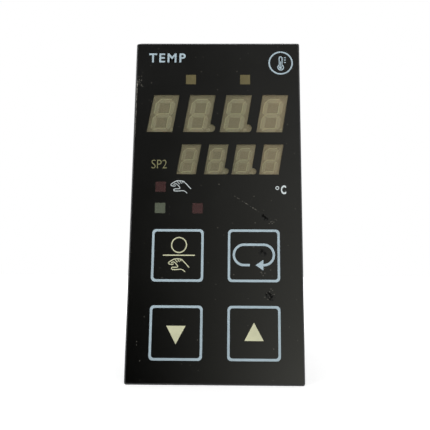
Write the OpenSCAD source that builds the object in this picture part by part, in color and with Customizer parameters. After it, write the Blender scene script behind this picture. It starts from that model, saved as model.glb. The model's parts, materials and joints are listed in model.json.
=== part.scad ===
// Plug-in PID temperature controller for a 45 x 92 mm panel cut-out.
// X runs to the right of someone facing the front, Y runs back into the panel, Z runs up.
// The origin is the centre of the cut-out on the front surface of the panel.

/* [Panel] */
// Width of the panel cut-out
cutout_w = 45; // [44:0.5:52]
// Height of the panel cut-out
cutout_h = 92; // [92:0.5:100]
// Overhang of the front past the left and right of the cut-out
overhang_w = 1.5; // [1.25:0.25:3]
// Overhang of the front past the top and bottom of the cut-out
overhang_h = 2; // [1.5:0.25:4]
// Thickness of the rubber gasket between the flange and the panel
gasket_t = 1; // [0.6:0.1:2]

/* [Housing] */
// Length of the sleeve behind the panel
sleeve_d = 110; // [106:1:130]
// Wall of the sleeve
case_wall = 1.8; // [1.4:0.1:2]
// Thickness of the flange that clamps against the panel
flange_t = 2.5; // [2:0.1:3.5]
// Radius of the sleeve's outer corners
sleeve_r = 1.2; // [0.6:0.1:1.6]
// Width of one ventilation slot
vent_w = 2; // [1.2:0.1:2.5]
// Length of one ventilation slot
vent_l = 26; // [12:1:32]
// Ventilation slots in each wall
vent_count = 7; // [3:1:8]

/* [Bezel] */
// Projection of the front from the panel
front_d = 12; // [12:0.25:16]
// Wall of the bezel
bezel_wall = 1.8; // [1.2:0.1:2]
// Thickness of the bezel's front plate
plate_t = 1.6; // [1.2:0.1:1.8]
// Radius of the front's corners
corner_r = 0.7; // [0.3:0.1:1.5]
// Bevel round the front edge of the bezel
edge_bevel = 0.35; // [0.1:0.05:0.5]
// Thickness of the printed film
film_t = 0.25; // [0.15:0.05:0.4]
// Rim of the bezel seen round the film
film_rim = 0.45; // [0.3:0.05:0.9]

/* [Display] */
// Distance between upper digits
upper_pitch = 10.5; // [10.2:0.1:10.8]
// Width of an upper digit's body
upper_body_w = 10; // [9:0.1:10.1]
// Height of an upper digit's body
upper_body_h = 13; // [11.6:0.1:13.2]
// Width of the film window of an upper digit
upper_window_w = 7.4; // [6.8:0.1:8]
// Height of the film window of an upper digit
upper_window_h = 11.1; // [10.6:0.1:11.4]
// Height of an upper character
upper_char_h = 9.9; // [9:0.1:10.2]
// Distance between lower digits
lower_pitch = 7.8; // [7.7:0.05:8]
// Width of a lower digit's body
lower_body_w = 7.6; // [6.8:0.1:7.6]
// Height of a lower digit's body
lower_body_h = 11; // [9.4:0.1:11.2]
// Width of the film window of a lower digit
lower_window_w = 5.5; // [5.2:0.1:6]
// Height of the film window of a lower digit
lower_window_h = 8.7; // [8.3:0.1:9]
// Height of a lower character
lower_char_h = 7.6; // [7:0.1:7.8]
// Slant of the digits from upright, in degrees
slant = 9.5; // [0:0.5:11]
// Side of a square lamp window
lamp_window = 2.9; // [2:0.1:3.1]

/* [Keys] */
// Distance of the key centres from the middle of the front
key_x = 10.5; // [10:0.1:12]
// Height of the upper keys' centre, down from the middle of the front
key_drop_upper = 14.05; // [13:0.1:15]
// Height of the lower keys' centre, down from the middle of the front
key_drop_lower = 34.65; // [34:0.1:36]
// Outer side of a printed key frame
key_frame = 14.3; // [13.6:0.1:15]
// Width of the printed frame line
frame_line = 0.65; // [0.4:0.05:1]
// Side of a key plunger where it meets the film
key_side = 12; // [10:0.1:12.2]
// Travel of a key
key_travel = 0.35; // [0.2:0.05:0.5]

/* [Boards] */
// Thickness of the main board and the power board
board_t = 1.6; // [1.2:0.1:1.8]
// Thickness of the display board
display_board_t = 1.2; // [1:0.1:1.6]
// Distance from each side board's middle to the sleeve's inner wall
board_inset = 5; // [4.5:0.1:5.5]

/* [Terminals] */
// Terminals in each of the two columns
terminal_count = 12; // [6:1:12]
// Distance between terminals
terminal_pitch = 7; // [6.6:0.1:7]
// Diameter of the terminal screws' thread
screw_d = 3; // [2.5:0.1:3]
// Thickness of the terminal and contact sheet
contact_t = 0.6; // [0.4:0.05:0.8]
// Height of the barriers between terminals
barrier_h = 6; // [5:0.5:9]

/* [Hidden] */
$fn = 48;
over = 1; // how far a cutting shape runs past what it cuts
lap = 0.1; // how far joined shapes run into each other

// Clearances
cutout_gap = 0.2; // sleeve to panel cut-out
gasket_gap = 0.1; // gasket to sleeve
gasket_margin = 0.3; // flange edge seen past the gasket
film_gap = 0.05; // film to its recess
key_gap = 0.2; // key plunger to its opening
digit_gap = 0.2; // digit body to its opening
lamp_gap = 0.2; // lamp to its light well
digit_recess = 0.4; // film to the faces of digits and lamps
board_edge = 0.5; // display board to the bezel's walls
board_back_gap = 0.45; // display board to the flange
groove_gap = 0.2; // side board to each guide rib
board_end_gap = 0.8; // side board's edge to the sleeve's wall
board_front_gap = 0.3; // side board to the display board
tongue_gap = 0.3; // tongue to the sleeve's wall
cheek_gap = 0.1; // tongue's cheek to the side board
peg_gap = 0.1; // peg to its hole, on the radius
stem_gap = 0.1; // switch stem to its cover, on the radius
spigot_gap = 0.15; // terminal block to the sleeve's wall
contact_gap = 0.12; // contact spring to the board
slot_gap = 0.15; // contact to its slot in the terminal block
screw_gap = 0.1; // screw to a clearance hole, on the radius
window_gap = 0.4; // latch nose to its window

// Front stack, from the film back to the gasket
face_w = cutout_w + 2 * overhang_w;
face_h = cutout_h + 2 * overhang_h;
front_y = -front_d;
film_back = front_y + film_t;
plate_back = film_back + plate_t;
flange_back = -gasket_t;
flange_front = flange_back - flange_t;
display_back = flange_front - board_back_gap;
display_front = display_back - display_board_t;
digit_face = film_back + digit_recess;
tray_w = face_w - 2 * bezel_wall;
tray_h = face_h - 2 * bezel_wall;
film_w = face_w - 2 * (film_rim + film_gap);
film_h = face_h - 2 * (film_rim + film_gap);
film_r = 0.3;
chip = [1.4, 0.5, 2.2]; // worn corner at the top left: along X, along Z, depth

// Sleeve
sleeve_w = cutout_w - 2 * cutout_gap;
sleeve_h = cutout_h - 2 * cutout_gap;
bay_w = sleeve_w - 2 * case_wall;
bay_h = sleeve_h - 2 * case_wall;
guide_front = 24;
guide_end_gap = 0.5;
rib_w = 1.2;
rib_h = 2.5;
clamp_slot_y = 30;
clamp_slot = [8, 4];
vent_pitch = 4.4;
vent_y = 56;

// Side boards
board_x = bay_w / 2 - board_inset;
board_in = board_x - board_t / 2;
board_out = board_x + board_t / 2;
board_h = bay_h - 2 * board_end_gap;
board_front = display_back + board_front_gap;
tab_l = 10;
tab_step = 2.4;
board_short = 4;
board_back = sleeve_d - board_short;
tab_front = board_back - tab_l;
tab_h = board_h - 2 * tab_step;
tab_bevel = 0.5;

// Tongues of the bezel that hold the side boards and latch in the sleeve
tongue_t = 1.5;
tongue_outer = bay_h / 2 - tongue_gap;
tongue_inner = tongue_outer - tongue_t;
tongue_w = 2 * (board_in - cheek_gap);
tongue_end = 20;
shelf_t = 1.5;
cheek_t = 1.5;
cheek_end = 16;
cheek_h = 4.2;
peg_d = 3;
peg_y = 9;
peg_z = tongue_inner - peg_d / 2 - 0.4;
peg_end = 0.7;
finger_w = 9;
finger_slot = 1;
finger_root = 2;
nose_y = 14;
nose_l = 2.4;
nose_h = 0.9;
nose_w = 7;
release_w = 10;
release_l = 2;
release_d = 0.8;

// Display board and what stands on it
display_w = tray_w - 2 * board_edge;
display_h = 2 * (tongue_inner - 1.2);
boss_d = 3.8;
boss_x = bay_w / 2 - 1.9;
boss_top = display_h / 2 - 2;
boss_low = (key_drop_upper + key_drop_lower) / 2;
small_screw_d = 2;
small_screw_l = 5;
small_head = [3.4, 1.2];
cross_slot = [0.6, 2.2];
upper_row = [0.15, 26.45];
lower_row = [3.8, 12.95];
char_ratio = 0.56;
stroke_ratio = 0.12;
segment_gap = 0.12;
segment_depth = 1;
figure_drop = 0.5; // bars below the middle of their window, along the slant
figure_shift = -figure_drop * [tan(slant), 1];
point_r = [0.6, 0.45];
lobe_r = [1.15, 0.9];
lobe_out = 0.65;
lamp_side = 3.2;
well_wall = 0.7;
well_end = 1.2;
lamp_places = [
    [-7.75, 36.7], [8.05, 36.7], [-15.7, 5], [-15.7, -1], [-5.2, -1.05]
];

// Keys and their switches
key_places = [
    [-key_x, -key_drop_upper], [key_x, -key_drop_upper],
    [-key_x, -key_drop_lower], [key_x, -key_drop_lower]
];
key_corner = 1;
key_lip = 0.5;
key_lip_t = 0.8;
key_boss_d = 4;
key_shell = 1;
key_rib = 1;
switch_side = 6.2;
switch_h = 3.2;
switch_cover = 0.4;
switch_corner = 0.4;
stem_d = 3.4;
stem_out = 0.5;
collar_d = 4.6;
collar_t = 0.8;
stem_floor = 0.15;
switch_top = display_front - switch_h;
stem_top = switch_top - stem_out;
collar_front = switch_top + switch_cover;
collar_back = collar_front + collar_t;

// Print of the keys
print_t = 0.04;
frame_r = 1.1;
loop_w = 11;
loop_h = 5.55;
loop_rise = 0.2; // how far the loop stands above the middle of its key
loop_gap = [-1.1, 2.6];
arrow_l = 2.1;
arrow_w = 2.9;
triangle_w = 5.2;
triangle_h = 4.75;
triangle_rise = [-0.55, 0.4]; // of the lower left and the lower right key
ring_r = 2.05;
ring_line = 0.3;
rule_w = 8.8;
ring_rise = 2.8;
ring_shift = 0.35; // the ring and the rule stand a little to the right in their frame

// Terminal block
spigot_l = 7;
block_front = sleeve_d - spigot_l;
block_floor = 2;
block_back = sleeve_d + block_floor;
inner_floor = 0.5;
spigot_w = bay_w - 2 * spigot_gap;
spigot_h = bay_h - 2 * spigot_gap;
spigot_wall = 1.5;
barrier_t = 1.2;
barrier_edge = 0.5;
barrier_bevel = 2.5;
spine_x = 5.5;
spine_t = 1.2;
screw_x = 11.5;
head_d = 5.4;
head_t = 1.8;
slot_w = 0.9;
slot_depth = 0.9;
clamp_size = [6.2, 5.2, 0.9];
clamp_r = 0.5;
contact_w = 3;
tail_end = screw_x + clamp_size[0] / 2 - lap;
leaf_x = board_out + contact_t;
leaf_reach = 7.4;
leaf_lead = 2.2;
leaf_tip = board_back - leaf_reach;
leaf_touch = leaf_tip + leaf_lead;
leaf_rise = 1.6;
leaf_flare = 0.75;
leaf_flat = 0.35;
shank_l = 5.4;
block_nose = [3, 8, 0.8];
block_nose_y = block_front + 2;
block_nose_z = 20;
column_h = terminal_count * terminal_pitch;
louvre_count = 5;
louvre_bridge = 5;
louvre_pitch = column_h / (louvre_count + 0.5);
terminal_z = [for (i = [0:terminal_count - 1]) (i - (terminal_count - 1) / 2) * terminal_pitch];

// Parts on the side boards: place along Y, place along Z
header_l = 40;
header_side = 2.5;
header_pins = 16;
pin_hole = 0.7;
mcu_size = [17.5, 17.5, 4.2];
mcu_foot = 0.6;
mcu_cut = 1.2;
mcu_leads = 11;
mcu_pitch = 1.27;
lead_w = 0.6;
lead_t = 0.3;
eprom_place = [52, -18];
socket_size = [15.4, 36, 4.2];
socket_rail = 4;
eprom_size = [14.8, 35, 3.8];
eprom_glass = 8;
eprom_notch = 2.4;
eprom_pit = 0.4;
crystal_size = [11.2, 4.6, 3.4];
opto_size = [8.8, 6.4, 3.5];
opto_pitch = 14;
opto_foot = 0.5;
leg_pitch = 2.54;
opto_count = 5;
core_place = [tab_front - 19, 22];
core_size = [32, 22, 24.4];
core_leg = 5.2;
coil_gap = 0.2;
coil_r = 2;
part_gap = 3; // least space between neighbours on a board
relay_size = [10, 20, 15];
relay_foot = 1;
relay_r = 0.6;
pip_d = 1.4;
pip_h = 0.4;
pip_inset = 2;
relay_y = tab_front - part_gap - relay_size[1] / 2;
opto_place = [core_place[0] + (core_size[1] + opto_size[1]) / 2 + part_gap / 4, 0];
crystal_z = 24;
crystal_place = [core_place[0] - (core_size[1] + crystal_size[1]) / 2 - part_gap, crystal_z];
mcu_gap = part_gap + 0.65; // room for the leads of the microcontroller
mcu_y = crystal_place[0] - (crystal_size[1] + mcu_size[1]) / 2 - mcu_gap;
mcu_place = [mcu_y, 22];
relay_z = [-8, -24];
can_d = 10;
can_h = 16;
crimp = 0.5; // depth of the crimp groove and of the rounded rim
crimp_h = 2.5;
can_pitch = 12;
can_last = relay_y - (relay_size[1] + can_d) / 2 - part_gap - 1; // with room for the clips
can_y = [for (i = [2:-1:0]) can_last - i * can_pitch];
can_z = -14;
fuse_place = [46, -34];
fuse_d = 5.2;
fuse_l = 20;
fuse_cap_l = 5;
fuse_cap_t = 0.3;
fuse_lift = 1.2;
clip_t = 0.5;
clip_l = 4;
sink_place = [44, 20];
sink_size = [22, 3, 16];
sink_fins = 5;
sink_fin_t = 1;
sink_fin_h = 5;
tab_size = [10.2, 1.3, 15.5];
chip_size = [10.2, 3.2, 9];

// Helpers

// Extrudes a shape drawn in X and Z from front to back along Y
module slab(front, back) {
    translate([0, back, 0]) rotate([90, 0, 0]) linear_extrude(back - front) children();
}

// Extrudes a shape drawn in Y and Z along X
module across(left, right) {
    translate([left, 0, 0]) rotate([90, 0, 90]) linear_extrude(right - left) children();
}

// Rectangle with round corners, centred
module rounded(w, h, r) {
    square([w - 2 * r, h], center = true);
    square([w, h - 2 * r], center = true);
    for (x = [-1, 1], y = [-1, 1]) translate([x * (w / 2 - r), y * (h / 2 - r)]) circle(r);
}

// Rod along Y
module rod(front, back, d) {
    slab(front, back) circle(d = d);
}

// Stands a part on the inner face of a side board, with its height along local Z
module on_board(side, place) {
    mirror([side > 0 ? 1 : 0, 0, 0]) translate([-board_in, place[0], place[1]])
        rotate([0, 90, 0]) children();
}

// A block standing on the local XY plane
module block(size) {
    translate([-size[0] / 2, -size[1] / 2, 0]) cube(size);
}

// Points moved sideways with their height, so that upright shapes lean
function lean(points) = [for (p = points) [p[0] + p[1] * tan(slant), p[1]]];

// A digit's centre in X and Z
function upper_place(i) = [upper_row[0] + (i - 2.5) * upper_pitch, upper_row[1]];
function lower_place(i) = [lower_row[0] + (i - 2.5) * lower_pitch, lower_row[1]];

// Housing

module guide_ribs() {
    offset_x = board_t / 2 + groove_gap + rib_w / 2;
    for (side = [-1, 1], edge = [-1, 1], end = [-1, 1])
        slab(guide_front, block_front - guide_end_gap)
            translate([side * board_x + edge * offset_x, end * (bay_h - rib_h + lap) / 2])
                square([rib_w, rib_h + lap], center = true);
}

module sleeve_windows() {
    for (end = [-1, 1], flip = [0, 1]) {
        wall_z = end * (bay_h + case_wall) / 2;
        translate([0, nose_y + nose_l / 2, wall_z])
            cube([nose_w + 2 * window_gap, nose_l + 2 * window_gap, case_wall + over],
                center = true);
        mirror([flip, 0, 0]) translate([bay_w / 4, clamp_slot_y, wall_z])
            cube([clamp_slot[0], clamp_slot[1], case_wall + over], center = true);
    }
    for (side = [-1, 1], end = [-1, 1])
        translate([side * (bay_w + case_wall) / 2, block_nose_y + block_nose[0] / 2,
            end * block_nose_z])
            cube([case_wall + over, block_nose[0] + 2 * window_gap,
                block_nose[1] + 2 * window_gap], center = true);
}

module vents() {
    for (i = [0:vent_count - 1], end = [-1, 1])
        translate([(i - (vent_count - 1) / 2) * vent_pitch, vent_y,
            end * (bay_h + case_wall) / 2 - (case_wall + over) / 2])
            linear_extrude(case_wall + over) {
                square([vent_w, vent_l - vent_w], center = true);
                for (tip = [-1, 1]) translate([0, tip * (vent_l - vent_w) / 2]) circle(d = vent_w);
            }
}

// Moulded sleeve with the flange that clamps on the panel, board guides and latch windows
module housing() {
    color("#2c2e31") difference() {
        union() {
            slab(flange_front, flange_back) difference() {
                rounded(face_w, face_h, corner_r);
                square([bay_w, bay_h], center = true);
            }
            slab(flange_back, sleeve_d) difference() {
                rounded(sleeve_w, sleeve_h, sleeve_r);
                square([bay_w, bay_h], center = true);
            }
            guide_ribs();
        }
        sleeve_windows();
        vents();
    }
}

// Rubber frame squeezed between the flange and the panel
module panel_gasket() {
    color("#17181a") slab(flange_back, 0) difference() {
        rounded(face_w - 2 * gasket_margin, face_h - 2 * gasket_margin, corner_r);
        square([sleeve_w + 2 * gasket_gap, sleeve_h + 2 * gasket_gap], center = true);
    }
}

// Rear terminals

module barriers() {
    outer = sleeve_w / 2 - barrier_edge;
    top = block_back + barrier_h;
    for (side = [0, 1], i = [0:terminal_count]) {
        translate([0, 0, i * terminal_pitch - column_h / 2 - barrier_t / 2])
            mirror([side, 0, 0]) linear_extrude(barrier_t) polygon([
                [spine_x, block_back - lap], [outer, block_back - lap],
                [outer, top - barrier_bevel], [outer - barrier_bevel, top], [spine_x, top]
            ]);
    }
}

module block_body() {
    slab(block_front, sleeve_d - inner_floor) difference() {
        square([spigot_w, spigot_h], center = true);
        square([spigot_w - 2 * spigot_wall, spigot_h - 2 * spigot_wall], center = true);
    }
    slab(sleeve_d - inner_floor, sleeve_d) square([spigot_w, spigot_h], center = true);
    slab(sleeve_d, block_back) rounded(sleeve_w, sleeve_h, sleeve_r);
    for (side = [-1, 1])
        slab(block_back - lap, block_back + barrier_h)
            translate([side * (spine_x + spine_t / 2), 0])
                square([spine_t, column_h + barrier_t], center = true);
    barriers();
    for (side = [0, 1], end = [-1, 1])
        mirror([side, 0, 0]) translate([spigot_w / 2 - lap, block_nose_y,
            end * block_nose_z - block_nose[1] / 2])
            linear_extrude(block_nose[1]) polygon([
                [0, 0], [lap + block_nose[2], block_nose[0]], [0, block_nose[0]]
            ]);
}

// Moulded block that closes the sleeve and carries the terminals and contacts
module rear_terminal_block() {
    color("#1f2123") difference() {
        block_body();
        for (side = [-1, 1], z = terminal_z) {
            translate([side * screw_x, 0, z])
                rod(block_front, block_back + over, screw_d + 2 * screw_gap);
            slab(block_front, block_back + over)
                translate([side * (leaf_x + contact_t / 2), z])
                    square([contact_t + 2 * slot_gap, contact_w + 2 * slot_gap], center = true);
        }
        for (i = [0:louvre_count - 1])
            slab(block_front, block_back + over)
                translate([0, (i - (louvre_count - 1) / 2) * louvre_pitch])
                    rounded(spine_x, louvre_pitch - louvre_bridge, vent_w / 2);
    }
}

// Slot leg and sprung contact of one strip, with the start of its tail
module contact_profile() {
    inner = leaf_x;
    outer = leaf_x + contact_t;
    touch = board_out + contact_gap;
    polygon([
        [tail_end, block_back], [inner, block_back], [inner, leaf_touch + leaf_rise],
        [touch, leaf_touch + leaf_flat], [touch, leaf_touch - leaf_flat],
        [touch + leaf_flare, leaf_tip],
        [touch + leaf_flare + contact_t, leaf_tip], [touch + contact_t, leaf_touch - leaf_flat],
        [touch + contact_t, leaf_touch + leaf_flat], [outer, leaf_touch + leaf_rise],
        [outer, block_back + contact_t], [tail_end, block_back + contact_t]
    ]);
}

// Strips that run from under each screw to the edge of a side board
module contact_springs() {
    color("#c9a24a") for (side = [0, 1], z = terminal_z)
        mirror([side, 0, 0]) {
            translate([0, 0, z - contact_w / 2]) linear_extrude(contact_w) contact_profile();
            translate([screw_x, 0, z]) slab(block_back, block_back + contact_t) difference() {
                square([clamp_size[0], clamp_size[1]], center = true);
                circle(d = screw_d);
            }
        }
}

// Square washers that press the wire on the terminal
module wire_clamps() {
    color("#c7c9c6") for (side = [-1, 1], z = terminal_z)
        translate([side * screw_x, 0, z])
            slab(block_back + contact_t, block_back + contact_t + clamp_size[2])
                difference() {
                    rounded(clamp_size[0], clamp_size[1], clamp_r);
                    circle(d = screw_d + 2 * screw_gap);
                }
}

// Slotted terminal screws
module terminal_screws() {
    seat = block_back + contact_t + clamp_size[2];
    color("#b9bcbf") for (side = [-1, 1], z = terminal_z)
        translate([side * screw_x, 0, z]) difference() {
            union() {
                rod(seat - shank_l, seat, screw_d - 0.1);
                rod(seat, seat + head_t, head_d);
            }
            slab(seat + head_t - slot_depth, seat + head_t + over)
                square([slot_w, head_d + over], center = true);
        }
}

// Bezel

module tongue(end) {
    difference() {
        union() {
            slab(flange_front - shelf_t, flange_front)
                translate([0, end * (tongue_inner + tray_h / 2 + lap) / 2])
                    square([tongue_w, tray_h / 2 + lap - tongue_inner], center = true);
            slab(flange_front - shelf_t, tongue_end)
                translate([0, end * (tongue_inner + tongue_outer) / 2])
                    square([tongue_w, tongue_t], center = true);
            for (side = [-1, 1])
                slab(flange_front, cheek_end)
                    translate([side * (tongue_w - cheek_t) / 2,
                        end * (tongue_inner - (cheek_h - lap) / 2)])
                        square([cheek_t, cheek_h + lap], center = true);
        }
        for (side = [-1, 1])
            slab(finger_root, tongue_end + over)
                translate([side * (finger_w + finger_slot) / 2, end * tongue_outer])
                    square([finger_slot, 2 * tongue_t + over], center = true);
    }
    for (side = [-1, 1])
        translate([0, peg_y, end * peg_z]) rotate([0, side * 90, 0])
            translate([0, 0, tongue_w / 2 - lap])
                cylinder(d = peg_d, h = lap + cheek_gap + board_t + peg_end);
    across(-nose_w / 2, nose_w / 2) polygon([
        [nose_y, end * (tongue_outer - lap)], [nose_y, end * (tongue_outer + nose_h)],
        [nose_y + nose_l / 3, end * (tongue_outer + nose_h)],
        [nose_y + nose_l, end * (tongue_outer - lap)]
    ]);
}

module row_opening(place, pitch, body_w, body_h) {
    translate([place[0], place[1]])
        square([3 * pitch + body_w + 2 * digit_gap, body_h + 2 * digit_gap], center = true);
}

module plate_openings() {
    row_opening(upper_row, upper_pitch, upper_body_w, upper_body_h);
    row_opening(lower_row, lower_pitch, lower_body_w, lower_body_h);
    for (p = lamp_places) translate(p) square(lamp_side + 2 * lamp_gap, center = true);
    for (p = key_places)
        translate(p) rounded(key_side + 2 * key_gap, key_side + 2 * key_gap, key_corner + key_gap);
}

module light_wells() {
    side = lamp_side + 2 * lamp_gap;
    for (p = lamp_places)
        slab(plate_back - lap, display_front - well_end) translate(p) difference() {
            square(side + 2 * well_wall, center = true);
            square(side, center = true);
        }
}

module screw_bosses() {
    for (x = [-boss_x, boss_x], z = [boss_top, -boss_low])
        translate([x, 0, z]) difference() {
            rod(plate_back - lap, display_front, boss_d);
            rod(display_front - small_screw_l + display_board_t, display_front + over,
                small_screw_d);
        }
}

// Cuts the bevel along the four front edges, and the worn corner
module edge_cuts() {
    for (end = [-1, 1]) {
        translate([0, front_y, end * face_h / 2]) rotate([45, 0, 0])
            cube([face_w + over, edge_bevel * sqrt(2), edge_bevel * sqrt(2)], center = true);
        translate([end * face_w / 2, front_y, 0]) rotate([0, 0, 45])
            cube([edge_bevel * sqrt(2), edge_bevel * sqrt(2), face_h + over], center = true);
    }
    slab(front_y - over, front_y + chip[2]) translate([-face_w / 2, face_h / 2])
        polygon([[-over, over], [-over, -chip[1]], [0, -chip[1]], [chip[0], 0], [chip[0], over]]);
}

// Front tray with openings for display, lamps and keys, and the tongues that hold the boards
module front_bezel() {
    color("#303236") {
        difference() {
            slab(front_y, flange_front) rounded(face_w, face_h, corner_r);
            slab(plate_back, flange_front + over) square([tray_w, tray_h], center = true);
            slab(front_y - over, film_back)
                rounded(film_w + 2 * film_gap, film_h + 2 * film_gap, film_r + film_gap);
            slab(front_y - over, plate_back + over) plate_openings();
            edge_cuts();
            for (end = [-1, 1])
                slab(flange_front - release_l, flange_front + over)
                    translate([0, end * face_h / 2])
                        square([release_w, 2 * release_d], center = true);
        }
        light_wells();
        screw_bosses();
        tongue(1);
        tongue(-1);
    }
}

// Film and its windows

module window_shape(w, h, lobe) {
    polygon(lean([[-w / 2, -h / 2], [w / 2, -h / 2], [w / 2, h / 2], [-w / 2, h / 2]]));
    if (lobe > 0)
        translate([w / 2 - h / 2 * tan(slant) + lobe_out, lobe - h / 2]) circle(lobe);
}

module digit_window_shapes() {
    for (i = [1:4]) {
        point = i == 2 || i == 3 ? 1 : 0;
        translate(upper_place(i))
            window_shape(upper_window_w, upper_window_h, point * lobe_r[0]);
        translate(lower_place(i))
            window_shape(lower_window_w, lower_window_h, point * lobe_r[1]);
    }
}

module lamp_window_shapes(numbers) {
    for (i = numbers) translate(lamp_places[i]) square(lamp_window, center = true);
}

module frame_shapes() {
    for (p = key_places)
        translate(p) difference() {
            rounded(key_frame, key_frame, frame_r);
            rounded(key_frame - 2 * frame_line, key_frame - 2 * frame_line,
                frame_r - frame_line / 2);
        }
    translate(key_places[1] + [0, loop_rise]) loop_arrow();
}

// Flat loop that ends in an arrow, for paging through the functions
module loop_arrow() {
    difference() {
        stadium(loop_w + frame_line, loop_h + frame_line);
        stadium(loop_w - frame_line, loop_h - frame_line);
        translate([loop_gap[0], -loop_h / 2 - frame_line])
            square([loop_gap[1] - loop_gap[0], 2 * frame_line]);
    }
    translate([loop_gap[1], -loop_h / 2])
        polygon([[0, -arrow_w / 2], [0, arrow_w / 2], [-arrow_l, 0]]);
}

module stadium(w, h) {
    square([w - h, h], center = true);
    for (x = [-1, 1]) translate([x * (w - h) / 2, 0]) circle(d = h);
}

module symbol_shapes() {
    translate(key_places[0] + [ring_shift, 0]) {
        translate([0, ring_rise]) difference() {
            circle(ring_r + ring_line / 2);
            circle(ring_r - ring_line / 2);
        }
        square([rule_w, ring_line], center = true);
    }
    translate(key_places[2] + [0, triangle_rise[0]]) polygon([
        [-triangle_w / 2, triangle_h / 2], [triangle_w / 2, triangle_h / 2],
        [0, -triangle_h / 2]
    ]);
    translate(key_places[3] + [0, triangle_rise[1]]) polygon([
        [-triangle_w / 2, -triangle_h / 2], [triangle_w / 2, -triangle_h / 2],
        [0, triangle_h / 2]
    ]);
}

// Black field of the printed film
module front_overlay() {
    color("#121312") difference() {
        slab(front_y, film_back) difference() {
            rounded(film_w, film_h, film_r);
            digit_window_shapes();
            lamp_window_shapes([0:4]);
        }
        slab(front_y - over, front_y + print_t) {
            frame_shapes();
            symbol_shapes();
        }
    }
}

// Clear fields of the film over the digits
module display_windows() {
    color("#8a8672") slab(front_y, film_back) digit_window_shapes();
}

// Yellow fields of the film over the output lamps
module yellow_windows() {
    color("#a08a4a") slab(front_y, film_back) lamp_window_shapes([0, 1]);
}

// Red fields of the film over the manual and alarm lamps
module red_windows() {
    color("#5a2226") slab(front_y, film_back) lamp_window_shapes([2, 4]);
}

// Green field of the film over the run lamp
module green_window() {
    color("#7d8a72") slab(front_y, film_back) lamp_window_shapes([3]);
}

// Pale blue key frames and paging arrow, flush in the film
module key_frames() {
    color("#a0b9c8") slab(front_y, front_y + print_t) frame_shapes();
}

// Cream triangles, ring and rule, flush in the film
module key_symbols() {
    color("#cdcda5") slab(front_y, front_y + print_t) symbol_shapes();
}

// Display

// One bar of a character between two joints, pointed at both ends
module bar(a, b, t) {
    d = (b - a) / norm(b - a);
    n = [-d[1], d[0]];
    s = a + d * segment_gap;
    e = b - d * segment_gap;
    polygon(lean([
        s, s + (d + n) * t / 2, e + (n - d) * t / 2, e, e - (n + d) * t / 2, s + (d - n) * t / 2
    ]));
}

// The seven bars and the point of one character
module character(h, point) {
    t = h * stroke_ratio;
    x = (h * char_ratio - t) / 2;
    z = (h - t) / 2;
    for (a = [-x, x]) {
        bar([a, 0], [a, z], t);
        bar([a, -z], [a, 0], t);
    }
    for (b = [-z, 0, z]) bar([-x, b], [x, b], t);
    translate([x + t / 2 - z * tan(slant) + lobe_out, point - h / 2]) circle(point);
}

module upper_segment_shape() {
    translate(figure_shift) character(upper_char_h, point_r[0]);
}

module lower_segment_shape() {
    translate(figure_shift) character(lower_char_h, point_r[1]);
}

module digit_body(w, h) {
    difference() {
        slab(digit_face, display_front) square([w, h], center = true);
        slab(digit_face - over, digit_face + segment_depth) children();
    }
}

// Reflector body of an upper digit, counted from the left
module upper_digit(i) {
    color("#7f7c6b") translate([upper_place(i)[0], 0, upper_place(i)[1]])
        digit_body(upper_body_w, upper_body_h) upper_segment_shape();
}

// Reflector body of a lower digit, counted from the left
module lower_digit(i) {
    color("#7f7c6b") translate([lower_place(i)[0], 0, lower_place(i)[1]])
        digit_body(lower_body_w, lower_body_h) lower_segment_shape();
}

// Translucent resin in the bars and points of all digits
module segment_fillers() {
    color("#a09c85") slab(digit_face, digit_face + segment_depth)
        for (i = [1:4]) {
            translate(upper_place(i)) upper_segment_shape();
            translate(lower_place(i)) lower_segment_shape();
        }
}

// Square lamp on the display board, its face behind the film
module lamp(i, tint) {
    color(tint) translate([lamp_places[i][0], 0, lamp_places[i][1]]) {
        slab(digit_face, display_front - 1) square(lamp_side, center = true);
        slab(display_front - 1, display_front) square(lamp_side + lamp_gap, center = true);
    }
}

// Board behind the front that carries digits, lamps and switches
module display_board() {
    color("#2f5a3a") slab(display_front, display_back) difference() {
        square([display_w, display_h], center = true);
        for (x = [-boss_x, boss_x], z = [boss_top, -boss_low])
            translate([x, z]) circle(d = small_screw_d + 4 * screw_gap);
    }
}

// Screws that hold the display board on the bezel's bosses
module display_screws() {
    color("#b9bcbf") for (x = [-boss_x, boss_x], z = [boss_top, -boss_low])
        translate([x, 0, z]) difference() {
            union() {
                rod(display_back - small_screw_l, display_back, small_screw_d - 0.1);
                rod(display_back, display_back + small_head[1], small_head[0]);
            }
            for (turn = [0, 90])
                slab(display_back + small_head[1] / 2, display_back + small_head[1] + over)
                    rotate(turn) square(cross_slot, center = true);
        }
}

// Keys

// Body of the push switch under a key, with a pocket for the stem's collar
module switch_body(i) {
    color("#26282a") translate([key_places[i][0], 0, key_places[i][1]]) difference() {
        slab(switch_top, display_front) rounded(switch_side, switch_side, switch_corner);
        rod(switch_top - over, collar_front + over, stem_d + 2 * stem_gap);
        rod(collar_front, collar_back + key_travel + stem_floor, collar_d + 2 * stem_gap);
    }
}

// Stem of the push switch, held in by its collar
module switch_stem(i) {
    color("#d8d4c8") translate([key_places[i][0], 0, key_places[i][1]]) {
        rod(stem_top, collar_back, stem_d);
        rod(collar_front, collar_back, collar_d);
    }
}

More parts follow.
